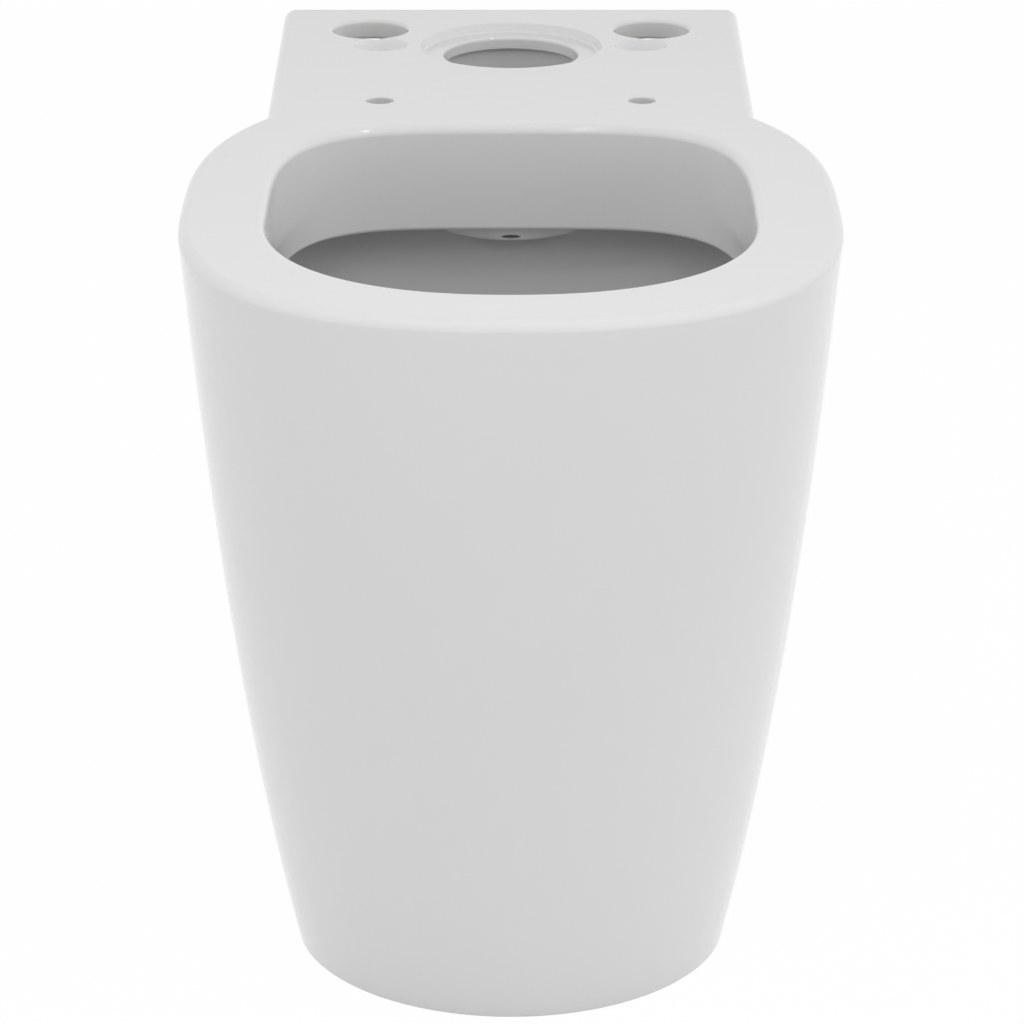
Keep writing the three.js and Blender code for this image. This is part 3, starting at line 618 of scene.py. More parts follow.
def surfaced(
        name, tones, roughness, wave_scale, speck_scale, bump, stretch=1.0, speck_bump=0.0,
        metallic=0.0, mirror=0.5):
    """A material on the fired_surface group.

    tones and roughness are (low, high) and bump is (strength, distance). stretch draws the waves
    out upright where it is under 1, speck_bump is how far the specks stand out beside the waves,
    and mirror is how strongly the surface reflects when seen face on.
    """
    material = bpy.data.materials.new(name)
    material.use_nodes = True
    nodes, links = material.node_tree.nodes, material.node_tree.links
    shader = nodes["Principled BSDF"]
    shader.inputs["Metallic"].default_value = metallic
    shader.inputs["Specular IOR Level"].default_value = mirror
    surface = nodes.new("ShaderNodeGroup")
    surface.node_tree = FIRED_SURFACE
    surface.inputs["Wave Scale"].default_value = wave_scale
    surface.inputs["Speck Scale"].default_value = speck_scale
    surface.inputs["Upright Stretch"].default_value = stretch
    colour = nodes.new("ShaderNodeMix")
    colour.data_type = "RGBA"
    colour.inputs["A"].default_value = (*tones[0], 1)
    colour.inputs["B"].default_value = (*tones[1], 1)
    links.new(surface.outputs["Cloud"], colour.inputs["Factor"])
    links.new(colour.outputs["Result"], shader.inputs["Base Color"])
    gloss = nodes.new("ShaderNodeMapRange")
    gloss.inputs["To Min"].default_value = roughness[0]
    gloss.inputs["To Max"].default_value = roughness[1]
    links.new(surface.outputs["Speck"], gloss.inputs["Value"])
    links.new(gloss.outputs["Result"], shader.inputs["Roughness"])
    height = maths(
        nodes, links, "MULTIPLY_ADD", surface.outputs["Speck"], speck_bump,
        surface.outputs["Wave"])
    relief = nodes.new("ShaderNodeBump")
    relief.inputs["Strength"].default_value = bump[0]
    relief.inputs["Distance"].default_value = bump[1]
    links.new(height, relief.inputs["Height"])
    links.new(relief.outputs["Normal"], shader.inputs["Normal"])
    return material


def glazed(name, *tones):
    """A glaze with soft upright waves and a slightly dull mirror."""
    return surfaced(
        name, tones, roughness=(0.05, 0.10), wave_scale=16.0, speck_scale=700.0,
        bump=(0.25, 0.002), stretch=0.35, mirror=0.3)


# The glaze inside the bowl is written darker: its colour is painted shade, for the shade in the
# bowl's depth
GLAZE = glazed("white_glaze", (0.765, 0.765, 0.764), (0.790, 0.790, 0.789))
BOWL_GLAZE_PAINTED_SHADE = glazed("bowl_glaze_painted_shade", (0.528, 0.529, 0.528), (0.554, 0.555, 0.554))
BISCUIT = surfaced(
    "unglazed_china", ((0.60, 0.57, 0.51), (0.70, 0.67, 0.61)), roughness=(0.75, 0.95),
    wave_scale=60.0, speck_scale=1500.0, bump=(0.4, 0.001), speck_bump=0.6)
ZINC = surfaced(
    "zinc_plate", ((0.52, 0.53, 0.54), (0.66, 0.66, 0.66)), roughness=(0.25, 0.45),
    wave_scale=220.0, speck_scale=2500.0, bump=(0.2, 0.0004), speck_bump=0.3, metallic=1.0)
NYLON = surfaced(
    "moulded_nylon", ((0.58, 0.58, 0.56), (0.66, 0.66, 0.64)), roughness=(0.38, 0.55),
    wave_scale=90.0, speck_scale=2500.0, bump=(0.2, 0.0005), speck_bump=0.4)
CAP_PLASTIC = surfaced(
    "white_cap_plastic", ((0.74, 0.74, 0.735), (0.78, 0.78, 0.775)), roughness=(0.16, 0.24),
    wave_scale=80.0, speck_scale=2500.0, bump=(0.1, 0.0004), speck_bump=0.2)
CHINA = (GLAZE, BISCUIT)


# China

def china_body():
    """Skirt, rim, curtain and cistern deck: one skin from the foot over the rim into the cavity."""
    rows = []
    for rise, run in quarter(FOOT_ROUND_STEPS):
        rows.append(row(
            outline(FOOT_EDGE_ROUND, FOOT_EDGE_ROUND * (1 - rise)),
            FOOT_EDGE_ROUND * (1 - run)))
    for step in range(1, WALL_ROWS + 1):
        height = mix(FOOT_EDGE_ROUND, TOP_EDGE_HEIGHT, step / WALL_ROWS)
        rows.append(row(outline(height), height))
    for rise, run in quarter()[1:]:
        line = outline(
            PAN_HEIGHT, TOP_EDGE_ROUND * (1 - run), REAR_EDGE_REACH * (1 - run))
        rows.append(row(line, TOP_EDGE_HEIGHT + TOP_EDGE_ROUND * rise))
    for rise, run in quarter():
        rows.append(row(
            opening_line(OPENING_EDGE_ROUND * rise),
            PAN_HEIGHT - OPENING_EDGE_ROUND * (1 - run)))
    edge = CURTAIN_EDGE_ROUND
    foot_centre = CURTAIN_FOOT + edge
    for rise, run in quarter(INNER_ROUND_STEPS):
        line = opening_line(OPENING_EDGE_ROUND - edge * (1 - run))
        rows.append(row(line, foot_centre - edge * rise))
    for rise, run in quarter(INNER_ROUND_STEPS):
        line = opening_line(CURTAIN_BACK + edge * (1 - rise))
        rows.append(row(line, foot_centre - edge * run))
    for rise, run in quarter(INNER_ROUND_STEPS):
        line = opening_line(CURTAIN_BACK - CAVITY_FILLET * (1 - run))
        rows.append(row(line, UNDERSIDE - CAVITY_FILLET * (1 - rise)))
    last_glazed = len(rows) - 1
    for rise, run in quarter(INNER_ROUND_STEPS):
        line = outline(UNDERSIDE, SKIRT_WALL + CAVITY_FILLET * (1 - rise))
        rows.append(row(line, UNDERSIDE - CAVITY_FILLET * (1 - run)))
    for step in range(1, WALL_ROWS // 2 + 1):
        height = mix(UNDERSIDE - CAVITY_FILLET, 0, step / (WALL_ROWS // 2))
        rows.append(row(outline(height, SKIRT_WALL), height))
    body = coated(skin("china_body", rows, closed=True), CHINA)
    coated_beyond(body, last_glazed, 1)
    holes = [tool for side in (-1, 1) for tool in skirt_hole_tools(side)]
    return cut(body, coated(rear_opening_tool(), CHINA, 1), *deck_hole_tools(), *holes)


def rear_opening_tool():
    """What the cavity leaves open at the wall, with rounded upper corners."""
    radius = REAR_OPENING_CORNER
    top = UNDERSIDE - REAR_RETURN
    right = []
    for step in range(REAR_STEPS + 1):
        height = mix(-OVERRUN, top - radius, step / REAR_STEPS)
        right.append((deck_half(max(height, 0)) - SKIRT_WALL - REAR_RETURN, height))
    half = right[-1][0]
    for rise, run in quarter()[1:]:
        right.append((half - radius * (1 - run), top - radius * (1 - rise)))
    line = right + [(-x, z) for x, z in reversed(right)]
    ends = (-OVERRUN, SKIRT_WALL + 2 * CAVITY_FILLET)
    rows = [[Vector((x, WALL_PLACE - end, z)) for x, z in line] for end in ends]
    return skin("rear_opening", rows)


def deck_hole_tools():
    """What cuts the inlet, the bolt holes with their dimples, and the seat hinge holes."""
    bottom = UNDERSIDE - OVERRUN
    tools = [settle(inlet_tool(bottom), at((0, INLET_FROM_WALL), 0))]
    for side in (-1, 1):
        for radius, edge, spacing, place in (
                (BOLT_HOLE_RADIUS, BOLT_HOLE_EDGE, BOLT_HOLE_SPACING, BOLT_HOLE_FROM_WALL),
                (HINGE_HOLE_RADIUS, HINGE_HOLE_EDGE, HINGE_HOLE_SPACING, HINGE_HOLE_FROM_WALL)):
            tool = soft_hole(radius, edge, bottom)
            tools.append(settle(tool, at((side * spacing / 2, place), 0)))
        tool = dimple_tool()
        tools.append(settle(tool, at((side * DIMPLE_SPACING / 2, DIMPLE_FROM_WALL), 0)))
    return tools


def soft_hole(radius, edge, bottom):
    """A hole whose upper and lower edges are rounded over."""
    profile = [(0, bottom), (radius + edge, bottom)]
    for rise, run in quarter():
        profile.append((radius + edge * (1 - rise), UNDERSIDE + edge * (1 - run)))
    for rise, run in quarter():
        profile.append((radius + edge * (1 - run), PAN_HEIGHT - edge * (1 - rise)))
    profile += [(radius + edge, PAN_HEIGHT + OVERRUN), (0, PAN_HEIGHT + OVERRUN)]
    return turned("hole", profile)


def inlet_tool(bottom):
    """The recess for the cistern's sealing ring, its wall steep and its ledge flat, and the hole."""
    ledge = PAN_HEIGHT - INLET_LEDGE_DEPTH
    wall = INLET_RECESS_RADIUS - INLET_WALL_TOP
    foot = wall - INLET_WALL_LEAN
    profile = [(0, bottom), (INLET_HOLE_RADIUS, bottom)]
    for rise, run in quarter():
        profile.append((
            INLET_HOLE_RADIUS + INLET_EDGE * (1 - run), ledge - INLET_EDGE * (1 - rise)))
    for rise, run in quarter():
        profile.append((
            foot - INLET_WALL_FOOT * (1 - rise), ledge + INLET_WALL_FOOT * (1 - run)))
    for rise, run in quarter():
        profile.append((
            wall + INLET_WALL_TOP * (1 - run), PAN_HEIGHT - INLET_WALL_TOP * (1 - rise)))
    profile += [(INLET_RECESS_RADIUS, PAN_HEIGHT + OVERRUN), (0, PAN_HEIGHT + OVERRUN)]
    return turned("inlet", profile, HOLE_STEPS * 2)


def dimple_tool():
    """A shallow round hollow with a flat floor, a steep wall and a softened edge."""
    profile = [(0, PAN_HEIGHT - DIMPLE_DEPTH)]
    steps = 3 * ROUND_STEPS
    for step in range(1, steps + 1):
        share = step / steps
        fall = DIMPLE_DEPTH * (1 - (share / DIMPLE_EDGE_SHARE)**DIMPLE_POWER)
        soft_fall = (fall + math.hypot(fall, DIMPLE_EDGE_SOFTNESS)) / 2
        depth = soft_fall * (1 - share**DIMPLE_LIP_POWER)
        profile.append((DIMPLE_RADIUS * share, PAN_HEIGHT - depth))
    profile += [(DIMPLE_RADIUS, PAN_HEIGHT + OVERRUN), (0, PAN_HEIGHT + OVERRUN)]
    return turned("dimple", profile)


def sideways(piece, side):
    """Lays a turned piece along X at a side fixing, with its heights measured from the middle."""
    return settle(
        piece, at((0, FIXING_FROM_WALL), FIXING_HEIGHT), (0, side * math.pi / 2, 0))


def rod_profile(radius, bottom, top):
    return [(0, bottom), (radius, bottom), (radius, top), (0, top)]


FIXING_FACE = deck_half(FIXING_HEIGHT)
FIXING_SEAT = FIXING_FACE - CAP_RECESS_DEPTH
BRACKET_FACE = FOOT_HALF_WIDTH - SKIRT_WALL - GAP


def skirt_hole_tools(side):
    inside = FIXING_FACE - 2 * SKIRT_WALL
    hole = turned("hole", rod_profile(SKIRT_HOLE_RADIUS, inside, FIXING_FACE), SMALL_HOLE_STEPS)
    far = FIXING_FACE + OVERRUN
    recess = turned("recess", rod_profile(CAP_RECESS_RADIUS, FIXING_SEAT, far), HOLE_STEPS)
    return [sideways(hole, side), sideways(recess, side)]


def bowl_line(share):
    """The inside of the bowl at a share of its fall from the channel to the sump."""
    drawn = share**2 * (3 - 2 * share)
    rim, sump = opening_line(COLLAR_FACE), sump_line()
    return [(mix(a[0], b[0], drawn), mix(a[1], b[1], drawn)) for a, b in zip(rim, sump)]


def bowl_rows(top):
    rows = [row(opening_line(COLLAR_FACE), top)]
    for step in range(WALL_ROWS + 1):
        share = step / WALL_ROWS
        rows.append(row(bowl_line(share), mix(CURTAIN_FOOT, SUMP_TOP_HEIGHT, share)))
    rows.append(row(sump_line(), SUMP_FLOOR_HEIGHT + SUMP_FLOOR_ROUND))
    for rise, run in quarter()[1:]:
        inset = SUMP_FLOOR_ROUND * (1 - run)
        rows.append(row(sump_line(inset), SUMP_FLOOR_HEIGHT + SUMP_FLOOR_ROUND * (1 - rise)))
    return rows


def china_bowl():
    """Collar, bowl and sump with the stub to the trap."""
    bowl = skin("china_bowl", bowl_rows(UNDERSIDE + GAP), filled=False)
    mesh = edit(bowl, "DESELECT")
    for vertex in mesh.verts:
        vertex.select_set(vertex.co.z < SUMP_FLOOR_HEIGHT + GAP)
    mesh.select_flush_mode()
    bpy.ops.mesh.edge_face_add()
    merge_doubles()
    turn_faces(inside=True)
    leave_edit()
    # The bowl's inside takes the darker glaze, whose colour is painted shade
    coated(bowl, (BOWL_GLAZE_PAINTED_SHADE, BISCUIT))
    apply(bowl, "SOLIDIFY", thickness=BOWL_WALL, offset=-1.0, material_offset=1)
    outer = TRAP_BORE + TRAP_WALL
    stub = turned(
        "stub", rod_profile(outer, TRAP_INLET_FROM_WALL, SUMP_FROM_WALL), HOLE_STEPS)
    bore = turned(
        "bore", rod_profile(TRAP_BORE, TRAP_INLET_FROM_WALL - OVERRUN, SUMP_FROM_WALL), HOLE_STEPS)
    inside = skin("inside", bowl_rows(UNDERSIDE + OVERRUN))
    for tool in (stub, bore):
        settle(tool, (0, WALL_PLACE, SUMP_FLOOR_HEIGHT + TRAP_BORE), (math.pi / 2, 0, 0))
    combine(coated(stub, CHINA, 1), inside, "DIFFERENCE")
    combine(bowl, stub, "UNION")
    cut(bowl, bore, window_tool(INLET_FROM_WALL, OPENING_REAR))
    return bowl


def window_tool(rear, front):
    """The passage from the flush chamber through the collar into the channel."""
    low = at((-WINDOW_HALF_WIDTH, front), CURTAIN_FOOT + CHANNEL_FLOOR_THICKNESS)
    high = at((WINDOW_HALF_WIDTH, rear), UNDERSIDE - WINDOW_LINTEL)
    return block("window", low, high)


def channel_floor():
    """The ring under the water channel, with its wash holes, of which none is over the nose."""
    inner, outer = CURTAIN_BACK - GAP, COLLAR_FACE + GAP
    top = CURTAIN_FOOT + CHANNEL_FLOOR_THICKNESS
    rows = [
        row(opening_line(inner), CURTAIN_FOOT), row(opening_line(outer), CURTAIN_FOOT),
        row(opening_line(outer), top), row(opening_line(inner), top)]
    floor = skin("rim_channel_floor", rows, closed=True)
    middle = opening_line(CURTAIN_BACK - CHANNEL_WIDTH / 2)
    ends = (CURTAIN_FOOT - OVERRUN, top + OVERRUN)
    feed = turned("feed", rod_profile(JET_FEED_RADIUS, *ends), SMALL_HOLE_STEPS)
    holes = [settle(feed, at((0, JET_FEED_FROM_WALL), 0))]
    run = 0.0
    for before, here in zip(middle, middle[1:]):
        run += math.dist(before, here)
        over_nose = (abs(here[0]) < NOSE_HALF_WIDTH + CHANNEL_WIDTH
                     and here[1] < OPENING_WIDEST)
        if run > WASH_HOLE_SPACING and not over_nose:
            run = 0.0
            hole = turned("wash_hole", rod_profile(WASH_HOLE_RADIUS, *ends), SMALL_HOLE_STEPS // 2)
            holes.append(settle(hole, at(here, 0)))
    return coated(cut(floor, joined(holes)), (GLAZE,))


def nose_line(share):
    """The nose's outline in plan at a share of its full size, from left to right and back."""
    line = []
    steps = 6 * ROUND_STEPS
    for step in range(steps + 1):
        across = 2 * step / steps - 1
        reach = NOSE_REACH * share * (1 - across**2)
        line.append((NOSE_HALF_WIDTH * share * across, COLLAR_FROM_WALL + reach))
    half, back = NOSE_HALF_WIDTH * share, COLLAR_FROM_WALL - NOSE_REACH
    return line + [(half, back), (-half, back)]


def jet_nose():
    """The belly that hangs under the back of the channel, with its jet slot and feed hole."""
    top = CURTAIN_FOOT - GAP
    rows = []
    last = 2 * ROUND_STEPS
    for step in range(last + 1):
        angle = math.pi / 2 * NOSE_END_SHARE * step / last
        height = top - NOSE_DROP * math.sin(angle)**(2 / NOSE_POWER)
        rows.append(row(nose_line(math.cos(angle)**(2 / NOSE_POWER)), height))
    nose = skin("jet_nose", rows)
    room = skin("room", bowl_rows(CURTAIN_FOOT + OVERRUN))
    combine(nose, room, "INTERSECT")
    height = top - JET_SLOT_DROP
    half, rise = JET_SLOT_WIDTH / 2, JET_SLOT_HEIGHT / 2
    start, end = JET_FEED_FROM_WALL, OPENING_REAR + OVERRUN
    bpy.ops.object.select_all(action="DESELECT")
    bpy.ops.mesh.primitive_cylinder_add(
        vertices=SMALL_HOLE_STEPS, radius=1, depth=1,
        location=at((0, mix(start, end, 0.5)), height), rotation=(math.pi / 2, 0, 0),
        scale=(half, rise, end - start))
    slot = named(bpy.context.object, "slot")
    bpy.ops.object.transform_apply(location=True, rotation=True, scale=True)
    feed = turned(
        "feed", rod_profile(JET_FEED_RADIUS, height - rise, top + OVERRUN), SMALL_HOLE_STEPS)
    cut(nose, slot, settle(feed, at((0, JET_FEED_FROM_WALL), 0)))
    return coated(nose, (GLAZE,))


def chamber_line(half, front):
    """Plan of the chamber: rounded front corners, straight sides and a half circle behind."""
    left = [(0.0, front)]
    for rise, run in quarter():
        left.append((-half + CHAMBER_CORNER * (1 - rise), front - CHAMBER_CORNER * (1 - run)))
    for rise, run in quarter(3 * ROUND_STEPS):
        left.append((-half * run, INLET_FROM_WALL - half * rise))
    return mirrored(left)


def chamber_rows(half, front, bottom, top, edge):
    """The chamber's rows from its rounded foot upwards."""
    rows = []
    for rise, run in quarter():
        inset = edge * (1 - rise)
        rows.append(row(chamber_line(half - inset, front - inset), bottom + edge * (1 - run)))
    return rows + [row(chamber_line(half, front), top)]


def flush_chamber():
    """The rounded tray under the inlet, open at the top and into the channel."""
    bottom = UNDERSIDE - CHAMBER_DEPTH
    tray = skin("flush_chamber", chamber_rows(
        CHAMBER_HALF_WIDTH + CHAMBER_WALL, OPENING_REAR, bottom - CHAMBER_WALL,
        UNDERSIDE - GAP, CHAMBER_CORNER + CHAMBER_WALL))
    inner_front = min(point[1] for point in opening_line(COLLAR_BACK)) - CHAMBER_WALL
    hollow = skin("hollow", chamber_rows(
        CHAMBER_HALF_WIDTH, inner_front, bottom, UNDERSIDE + OVERRUN, CHAMBER_CORNER))
    around = skin("bowl_side", [
        row(opening_line(COLLAR_BACK - GAP), height)
        for height in (bottom - CHAMBER_WALL - OVERRUN, UNDERSIDE + OVERRUN)])
    return cut(
        coated(tray, CHINA, 1), around, coated(hollow, CHINA),
        window_tool(INLET_FROM_WALL, OPENING_WIDEST))


def bend(start, run, rise):
    """Extends the selected ring of a pipe by two equal bends that leave and arrive level."""
    angle = 2 * math.atan(rise / run)
    sweep = run / (2 * math.sin(angle))
    y, z = start
    sign = math.copysign(1, angle)
    for turn, centre in ((1, (y, z + sweep)), (-1, (y + run, z + rise - sweep))):
        bpy.ops.mesh.spin(
            steps=TRAP_BEND_STEPS, angle=abs(angle), center=(0, *centre),
            axis=(-sign * turn, 0, 0))
    return y + run, z + rise


def trap_pipe():
    """The trap: up from the sump to the weir and down to the outlet."""
    bpy.ops.object.select_all(action="DESELECT")
    inlet = (WALL_PLACE - TRAP_INLET_FROM_WALL, SUMP_FLOOR_HEIGHT + TRAP_BORE)
    bpy.ops.mesh.primitive_circle_add(
        vertices=HOLE_STEPS // 2, radius=TRAP_BORE + TRAP_WALL, location=(0, *inlet),
        rotation=(math.pi / 2, 0, 0))
    trap = named(bpy.context.object, "trap_pipe")
    bpy.ops.object.transform_apply(location=True, rotation=True, scale=True)
    edit(trap)
    crown = bend(inlet, TRAP_RUN, TRAP_RISE)
    bend(crown, OUTLET_RUN, -OUTLET_FALL)
    merge_doubles()
    turn_faces()
    leave_edit()
    coated(trap, (BISCUIT, GLAZE))
    return apply(trap, "SOLIDIFY", thickness=TRAP_WALL, offset=-1.0, material_offset=1)


def outlet_spigot():
    """The spout for the pan connector, with a soft lip and two shallow ribs."""
    start = TRAP_INLET_FROM_WALL - TRAP_RUN - OUTLET_RUN
    end = start - SPIGOT_LENGTH
    inner, outer, edge = SPIGOT_RADIUS - SPIGOT_WALL, SPIGOT_RADIUS, SPIGOT_EDGE
    profile = [(inner, -start), (outer - edge, -start), (outer, -start + edge)]
    for share in SPIGOT_RIB_SHARES:
        place = mix(start, end, share)
        profile += [(outer, -place - edge), (outer - edge / 2, -place), (outer, -place + edge)]
    for rise, run in quarter():
        profile.append((outer - edge * (1 - run), -end - edge * (1 - rise)))
    for rise, run in quarter():
        profile.append((inner + edge * (1 - rise), -end - edge * (1 - run)))
    spigot = turned("outlet_spigot", profile, HOLE_STEPS, closed=True)
    height = SUMP_FLOOR_HEIGHT + TRAP_BORE + TRAP_RISE - OUTLET_FALL
    settle(spigot, (0, WALL_PLACE, height), (-math.pi / 2, 0, 0))
    return coated(spigot, (BISCUIT,))


# Side fixings: side is -1 on the left and 1 on the right

def side_ends(side, inner, outer):
    """An x range from its distances to the middle plane."""
    return (inner, outer) if side > 0 else (-outer, -inner)


def fine_edges(piece):
    """Rounds all that is still sharp on a small part."""
    return apply(
        piece, "BEVEL", width=FINE_EDGE, segments=2, limit_method="ANGLE",
        angle_limit=math.radians(FINE_EDGE_ANGLE))


def floor_bracket(side):
    """Bent steel: a foot on the floor and an upright behind the skirt, with rounded corners."""
    far, near = FIXING_FROM_WALL + BRACKET_WIDTH / 2, FIXING_FROM_WALL - BRACKET_WIDTH / 2
    parts = []
    for name, depth, rise in (
            ("floor_bracket", BRACKET_FOOT, BRACKET_STEEL),
            ("upright", BRACKET_STEEL, BRACKET_RISE)):
        low, high = side_ends(side, BRACKET_FACE - depth, BRACKET_FACE)
        parts.append(block(name, at((low, far), 0), at((high, near), rise)))
    bracket = combine(*parts, "UNION")

    def runs_at(edge, axis, from_middle=None, height=None):
        middle = (edge.verts[0].co + edge.verts[1].co) / 2
        return (runs_along(edge, axis)
                and (from_middle is None or abs(abs(middle.x) - from_middle) < GAP)
                and (height is None or abs(middle.z - height) < GAP))

    bevel_edges(
        bracket, lambda edge: runs_at(edge, 1, BRACKET_FACE, 0), BRACKET_BEND, segments=8)
    inner_bend = BRACKET_FACE - BRACKET_STEEL
    bevel_edges(
        bracket, lambda edge: runs_at(edge, 1, inner_bend, BRACKET_STEEL),
        BRACKET_BEND - BRACKET_STEEL, segments=6)
    foot_end = BRACKET_FACE - BRACKET_FOOT
    bevel_edges(
        bracket, lambda edge: runs_at(edge, 2, from_middle=foot_end)
        or runs_at(edge, 0, height=BRACKET_RISE), BRACKET_CORNER, segments=8)
    floor_hole = turned(
        "hole", rod_profile(FLOOR_HOLE_RADIUS, -OVERRUN, OVERRUN), SMALL_HOLE_STEPS)
    middle = side * (BRACKET_FACE - (BRACKET_FOOT + BRACKET_STEEL) / 2)
    settle(floor_hole, at((middle, FIXING_FROM_WALL), 0))
    side_hole = turned(
        "hole", rod_profile(SCREW_RADIUS + GAP, foot_end, FIXING_FACE), SMALL_HOLE_STEPS)
    return fine_edges(cut(bracket, floor_hole, sideways(side_hole, side)))


def bracket_nut(side):
    """Square nut behind the bracket, its corners and edges taken off."""
    outer = BRACKET_FACE - BRACKET_STEEL - GAP
    low, high = side_ends(side, outer - NUT_THICKNESS, outer)
    half = NUT_WIDTH / 2
    nut = block(
        "bracket_nut", at((low, FIXING_FROM_WALL + half), FIXING_HEIGHT - half),
        at((high, FIXING_FROM_WALL - half), FIXING_HEIGHT + half))
    bevel_edges(nut, lambda edge: runs_along(edge, 0), 4 * FINE_EDGE, segments=5)
    bore = rod_profile(SCREW_RADIUS + GAP, outer - NUT_THICKNESS - OVERRUN, outer + OVERRUN)
    return fine_edges(cut(nut, sideways(turned("bore", bore, SMALL_HOLE_STEPS), side)))


def side_bush(side):
    """Flanged bush that fills the hole in the skirt."""
    bore, edge = SCREW_RADIUS + GAP, FINE_EDGE
    near, seat, flange = BRACKET_FACE + GAP, FIXING_SEAT, BUSH_FLANGE_RADIUS
    lean = FIXING_FACE - deck_half(FIXING_HEIGHT - flange)
    flange_face = FIXING_FACE - SKIRT_WALL - lean - GAP
    barrel = SKIRT_HOLE_RADIUS - GAP
    profile = [
        (bore + edge, near), (flange - edge, near), (flange, near + edge),
        (flange, flange_face - edge), (flange - edge, flange_face), (barrel + edge, flange_face),
        (barrel, flange_face + edge), (barrel, seat - edge), (barrel - edge, seat),
        (bore + edge, seat), (bore, seat - edge), (bore, near + edge)]
    return sideways(turned("side_bush", profile, SMALL_HOLE_STEPS, closed=True), side)


def side_washer(side):
    bore, rim, edge = SCREW_RADIUS + GAP, WASHER_RADIUS, FINE_EDGE / 2
    low = FIXING_SEAT + GAP
    high = low + WASHER_THICKNESS
    profile = [
        (bore + edge, low), (rim - edge, low), (rim, low + edge), (rim, high - edge),
        (rim - edge, high), (bore + edge, high), (bore, high - edge), (bore, low + edge)]
    return sideways(turned("side_washer", profile, SMALL_HOLE_STEPS, closed=True), side)


def side_screw(side):
    """Domed screw with a cross recess and a ridged shank."""
    foot = FIXING_SEAT + WASHER_THICKNESS + 2 * GAP
    point = BRACKET_FACE - BRACKET_STEEL - NUT_THICKNESS - SCREW_POINT
    root = SCREW_RADIUS - THREAD_DEPTH
    profile = [(0, point), (SCREW_RADIUS / 2, point), (root, point + SCREW_POINT)]
    ridges = int((foot - point - SCREW_POINT) / THREAD_PITCH)
    for ridge in range(ridges):
        start = point + SCREW_POINT + ridge * THREAD_PITCH
        profile += [(SCREW_RADIUS, start + THREAD_PITCH * share) for share in THREAD_CREST_SHARES]
        profile.append((root, start + THREAD_PITCH))
    profile += [(root, foot), (SCREW_HEAD_RADIUS - FINE_EDGE, foot)]
    for rise, run in quarter():
        profile.append((SCREW_HEAD_RADIUS * run, foot + FINE_EDGE
                        + (SCREW_HEAD_HEIGHT - FINE_EDGE) * rise))
    screw = sideways(turned("side_screw", profile, SMALL_HOLE_STEPS), side)
    low, high = side_ends(
        side, foot + SCREW_HEAD_HEIGHT - CROSS_DEPTH, foot + SCREW_HEAD_HEIGHT + OVERRUN)
    bars = []
    for across, rise in ((CROSS_LENGTH, CROSS_WIDTH), (CROSS_WIDTH, CROSS_LENGTH)):
        bars.append(block(
            "bar", at((low, FIXING_FROM_WALL + across / 2), FIXING_HEIGHT - rise / 2),
            at((high, FIXING_FROM_WALL - across / 2), FIXING_HEIGHT + rise / 2)))
    return cut(screw, *bars)


def cover_cap(side):
    """Push-on cap with a slightly crowned face."""
    foot = FIXING_SEAT + GAP
    top = foot + CAP_HEIGHT
    inner, edge = CAP_RADIUS - CAP_WALL, CAP_EDGE_ROUND
    shoulder = top - CAP_CROWN
    profile = [(0, top - CAP_WALL), (inner - edge / 2, top - CAP_WALL)]
    profile += [(inner, top - CAP_WALL - edge / 2), (inner, foot + FINE_EDGE)]
    profile += [(inner + FINE_EDGE, foot), (CAP_RADIUS - FINE_EDGE, foot)]
    profile.append((CAP_RADIUS, foot + FINE_EDGE))
    for rise, run in quarter():
        profile.append((CAP_RADIUS - edge * (1 - run), shoulder - edge * (1 - rise)))
    flat = CAP_RADIUS - edge
    for step in range(1, ROUND_STEPS + 1):
        share = 1 - step / ROUND_STEPS
        profile.append((flat * share, shoulder + CAP_CROWN * (1 - share**2)))
    return sideways(turned("cover_cap", profile), side)


# Build the china

dress(china_body(), "skirt_shell", "rim_ring", "cistern_deck")
dress(china_bowl(), "bowl_basin", "rim_collar", "sump_cup")
dress(channel_floor(), "rim_channel_floor")
dress(jet_nose(), "jet_nose")
dress(flush_chamber(), "flush_chamber")
dress(trap_pipe(), "trap_upleg", "trap_downleg")
dress(outlet_spigot(), "outlet_spigot")

# Build the side fixings

for side, label in ((-1, "left"), (1, "right")):
    for shape, material in (
            (floor_bracket, ZINC), (bracket_nut, NYLON), (side_bush, NYLON),
            (side_washer, ZINC), (side_screw, ZINC), (cover_cap, CAP_PLASTIC)):
        node = f"{shape.__name__}_{label}"
        dress(coated(named(shape(side), node), (material,)), node)


# Floor, light and camera

FLOOR_SIZE = 24
FLOOR_COLOUR = (0.92, 0.92, 0.92, 1)
FLOOR_ROUGHNESS = 0.9
FLOOR_GLOW_SHARE = 0.978
WHITE = (1, 1, 1, 1)

# The strength of the soft light all round, and its lobes (axis, sign, power, added strength)
SKY_STRENGTH = 0.33
SKY_LOBES = (("X", -1, 2, 0.95), ("X", 1, 2, 1.21), ("Y", -1, 6, 0.17))

# Small lamps that only show as points in the glaze, aimed at the middle of the deck
SPARKLE_PLACES = ((-0.08, -1.05, 2.80), (-0.66, -1.16, 2.63), (0.75, 0.18, 2.91))
SPARKLE_TARGET = (0, 0.13, 0.45)


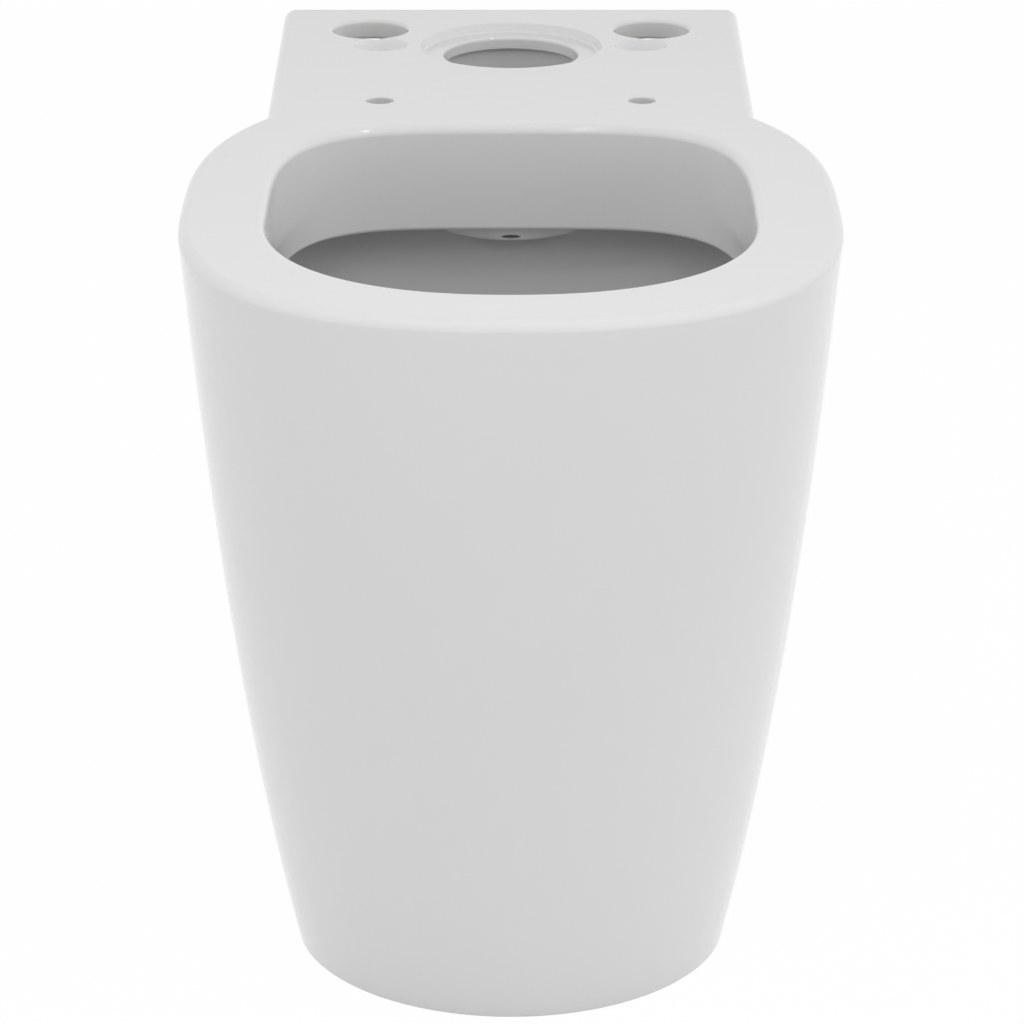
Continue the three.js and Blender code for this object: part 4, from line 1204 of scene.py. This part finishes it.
def floor_plane():
    """A floor that glows white to the eye and in mirrors, but for a small share that is lit."""
    bpy.ops.object.select_all(action="DESELECT")
    bpy.ops.mesh.primitive_plane_add(size=FLOOR_SIZE)
    floor = named(bpy.context.object, "studio_floor")
    material = bpy.data.materials.new("studio_floor")
    material.use_nodes = True
    nodes, links = material.node_tree.nodes, material.node_tree.links
    shader = nodes["Principled BSDF"]
    shader.inputs["Base Color"].default_value = FLOOR_COLOUR
    shader.inputs["Roughness"].default_value = FLOOR_ROUGHNESS
    glow = nodes.new("ShaderNodeEmission")
    glow.inputs["Color"].default_value = WHITE
    share = maths(
        nodes, links, "MULTIPLY", seen_or_mirrored(nodes, links), FLOOR_GLOW_SHARE)
    blend = nodes.new("ShaderNodeMixShader")
    links.new(share, blend.inputs["Fac"])
    links.new(shader.outputs["BSDF"], blend.inputs[1])
    links.new(glow.outputs["Emission"], blend.inputs[2])
    links.new(blend.outputs["Shader"], nodes["Material Output"].inputs["Surface"])
    floor.data.materials.append(material)


def seen_or_mirrored(nodes, links):
    """1 for rays from the camera, from a mirroring surface or through glass, and 0 for the rest."""
    path = nodes.new("ShaderNodeLightPath")
    either = path.outputs["Is Camera Ray"]
    for name in ("Is Glossy Ray", "Is Transmission Ray"):
        either = maths(nodes, links, "MAXIMUM", either, path.outputs[name])
    return either


def studio_world():
    """White to the eye and in reflections, with soft light that is strongest from a few sides."""
    world = bpy.data.worlds.new("studio")
    bpy.context.scene.world = world
    world.use_nodes = True
    nodes, links = world.node_tree.nodes, world.node_tree.links
    place = nodes.new("ShaderNodeTexCoord")
    way = nodes.new("ShaderNodeSeparateXYZ")
    links.new(place.outputs["Generated"], way.inputs["Vector"])
    light = nodes["Background"]
    light.inputs["Color"].default_value = WHITE
    strength = SKY_STRENGTH
    for axis, sign, power, added in SKY_LOBES:
        facing = maths(nodes, links, "MULTIPLY", way.outputs[axis], sign, clamp=True)
        fall = maths(nodes, links, "POWER", facing, power)
        strength = maths(nodes, links, "MULTIPLY_ADD", fall, added, strength)
    links.new(strength, light.inputs["Strength"])
    seen = nodes.new("ShaderNodeBackground")
    seen.inputs["Color"].default_value = WHITE
    blend = nodes.new("ShaderNodeMixShader")
    links.new(seen_or_mirrored(nodes, links), blend.inputs["Fac"])
    links.new(light.outputs["Background"], blend.inputs[1])
    links.new(seen.outputs["Background"], blend.inputs[2])
    links.new(blend.outputs["Shader"], nodes["World Output"].inputs["Surface"])


def lamp(name, place, target, size, power, spread=180, lights=True, shows=True):
    """A flat lamp of a power in watts. It may only light, or only show in what mirrors it."""
    data = bpy.data.lights.new(name, "AREA")
    data.shape = "RECTANGLE"
    data.size, data.size_y = size
    data.energy = power
    data.spread = math.radians(spread)
    thing = bpy.data.objects.new(name, data)
    bpy.context.scene.collection.objects.link(thing)
    thing.location = place
    thing.rotation_euler = (Vector(target) - Vector(place)).to_track_quat("-Z", "Y").to_euler()
    thing.visible_diffuse = lights
    thing.visible_glossy = shows


def camera(focal_pixels, image_pixels, middle_pixel, from_wall, height, tilt):
    """The photograph's camera, level from side to side and looking down at the pan."""
    data = bpy.data.cameras.new("camera")
    thing = bpy.data.objects.new("camera", data)
    bpy.context.scene.collection.objects.link(thing)
    bpy.context.scene.camera = thing
    thing.location = (0, WALL_PLACE - from_wall, height)
    thing.rotation_euler = (math.radians(90 - tilt), 0, 0)
    data.sensor_width = 36
    data.lens = data.sensor_width * focal_pixels / image_pixels
    data.shift_x = (image_pixels / 2 - middle_pixel) / image_pixels


floor_plane()
studio_world()
lamp("front_light", (0, -3.6, 0.45), target=(0, 0, 0.25), size=(3.0, 0.8), power=9.5)
lamp(
    "top_light", (0, -0.6, 1.8), target=(0, -0.2, 0.45), size=(1.0, 1.0), power=5.4,
    shows=False)
lamp(
    "near_light", (0, -0.9, 1.25), target=(0, -0.15, 0.45), size=(0.9, 0.3), power=1.25,
    shows=False)
for number, place in enumerate(SPARKLE_PLACES):
    lamp(
        f"sparkle_{number}", place, target=SPARKLE_TARGET, size=(0.08, 0.08), power=0.10,
        spread=12, lights=False)
camera(
    focal_pixels=5163.36, image_pixels=1024, middle_pixel=510.84, from_wall=3.18417,
    height=1.23719, tilt=19.452)
bpy.context.scene.view_settings.view_transform = "Standard"
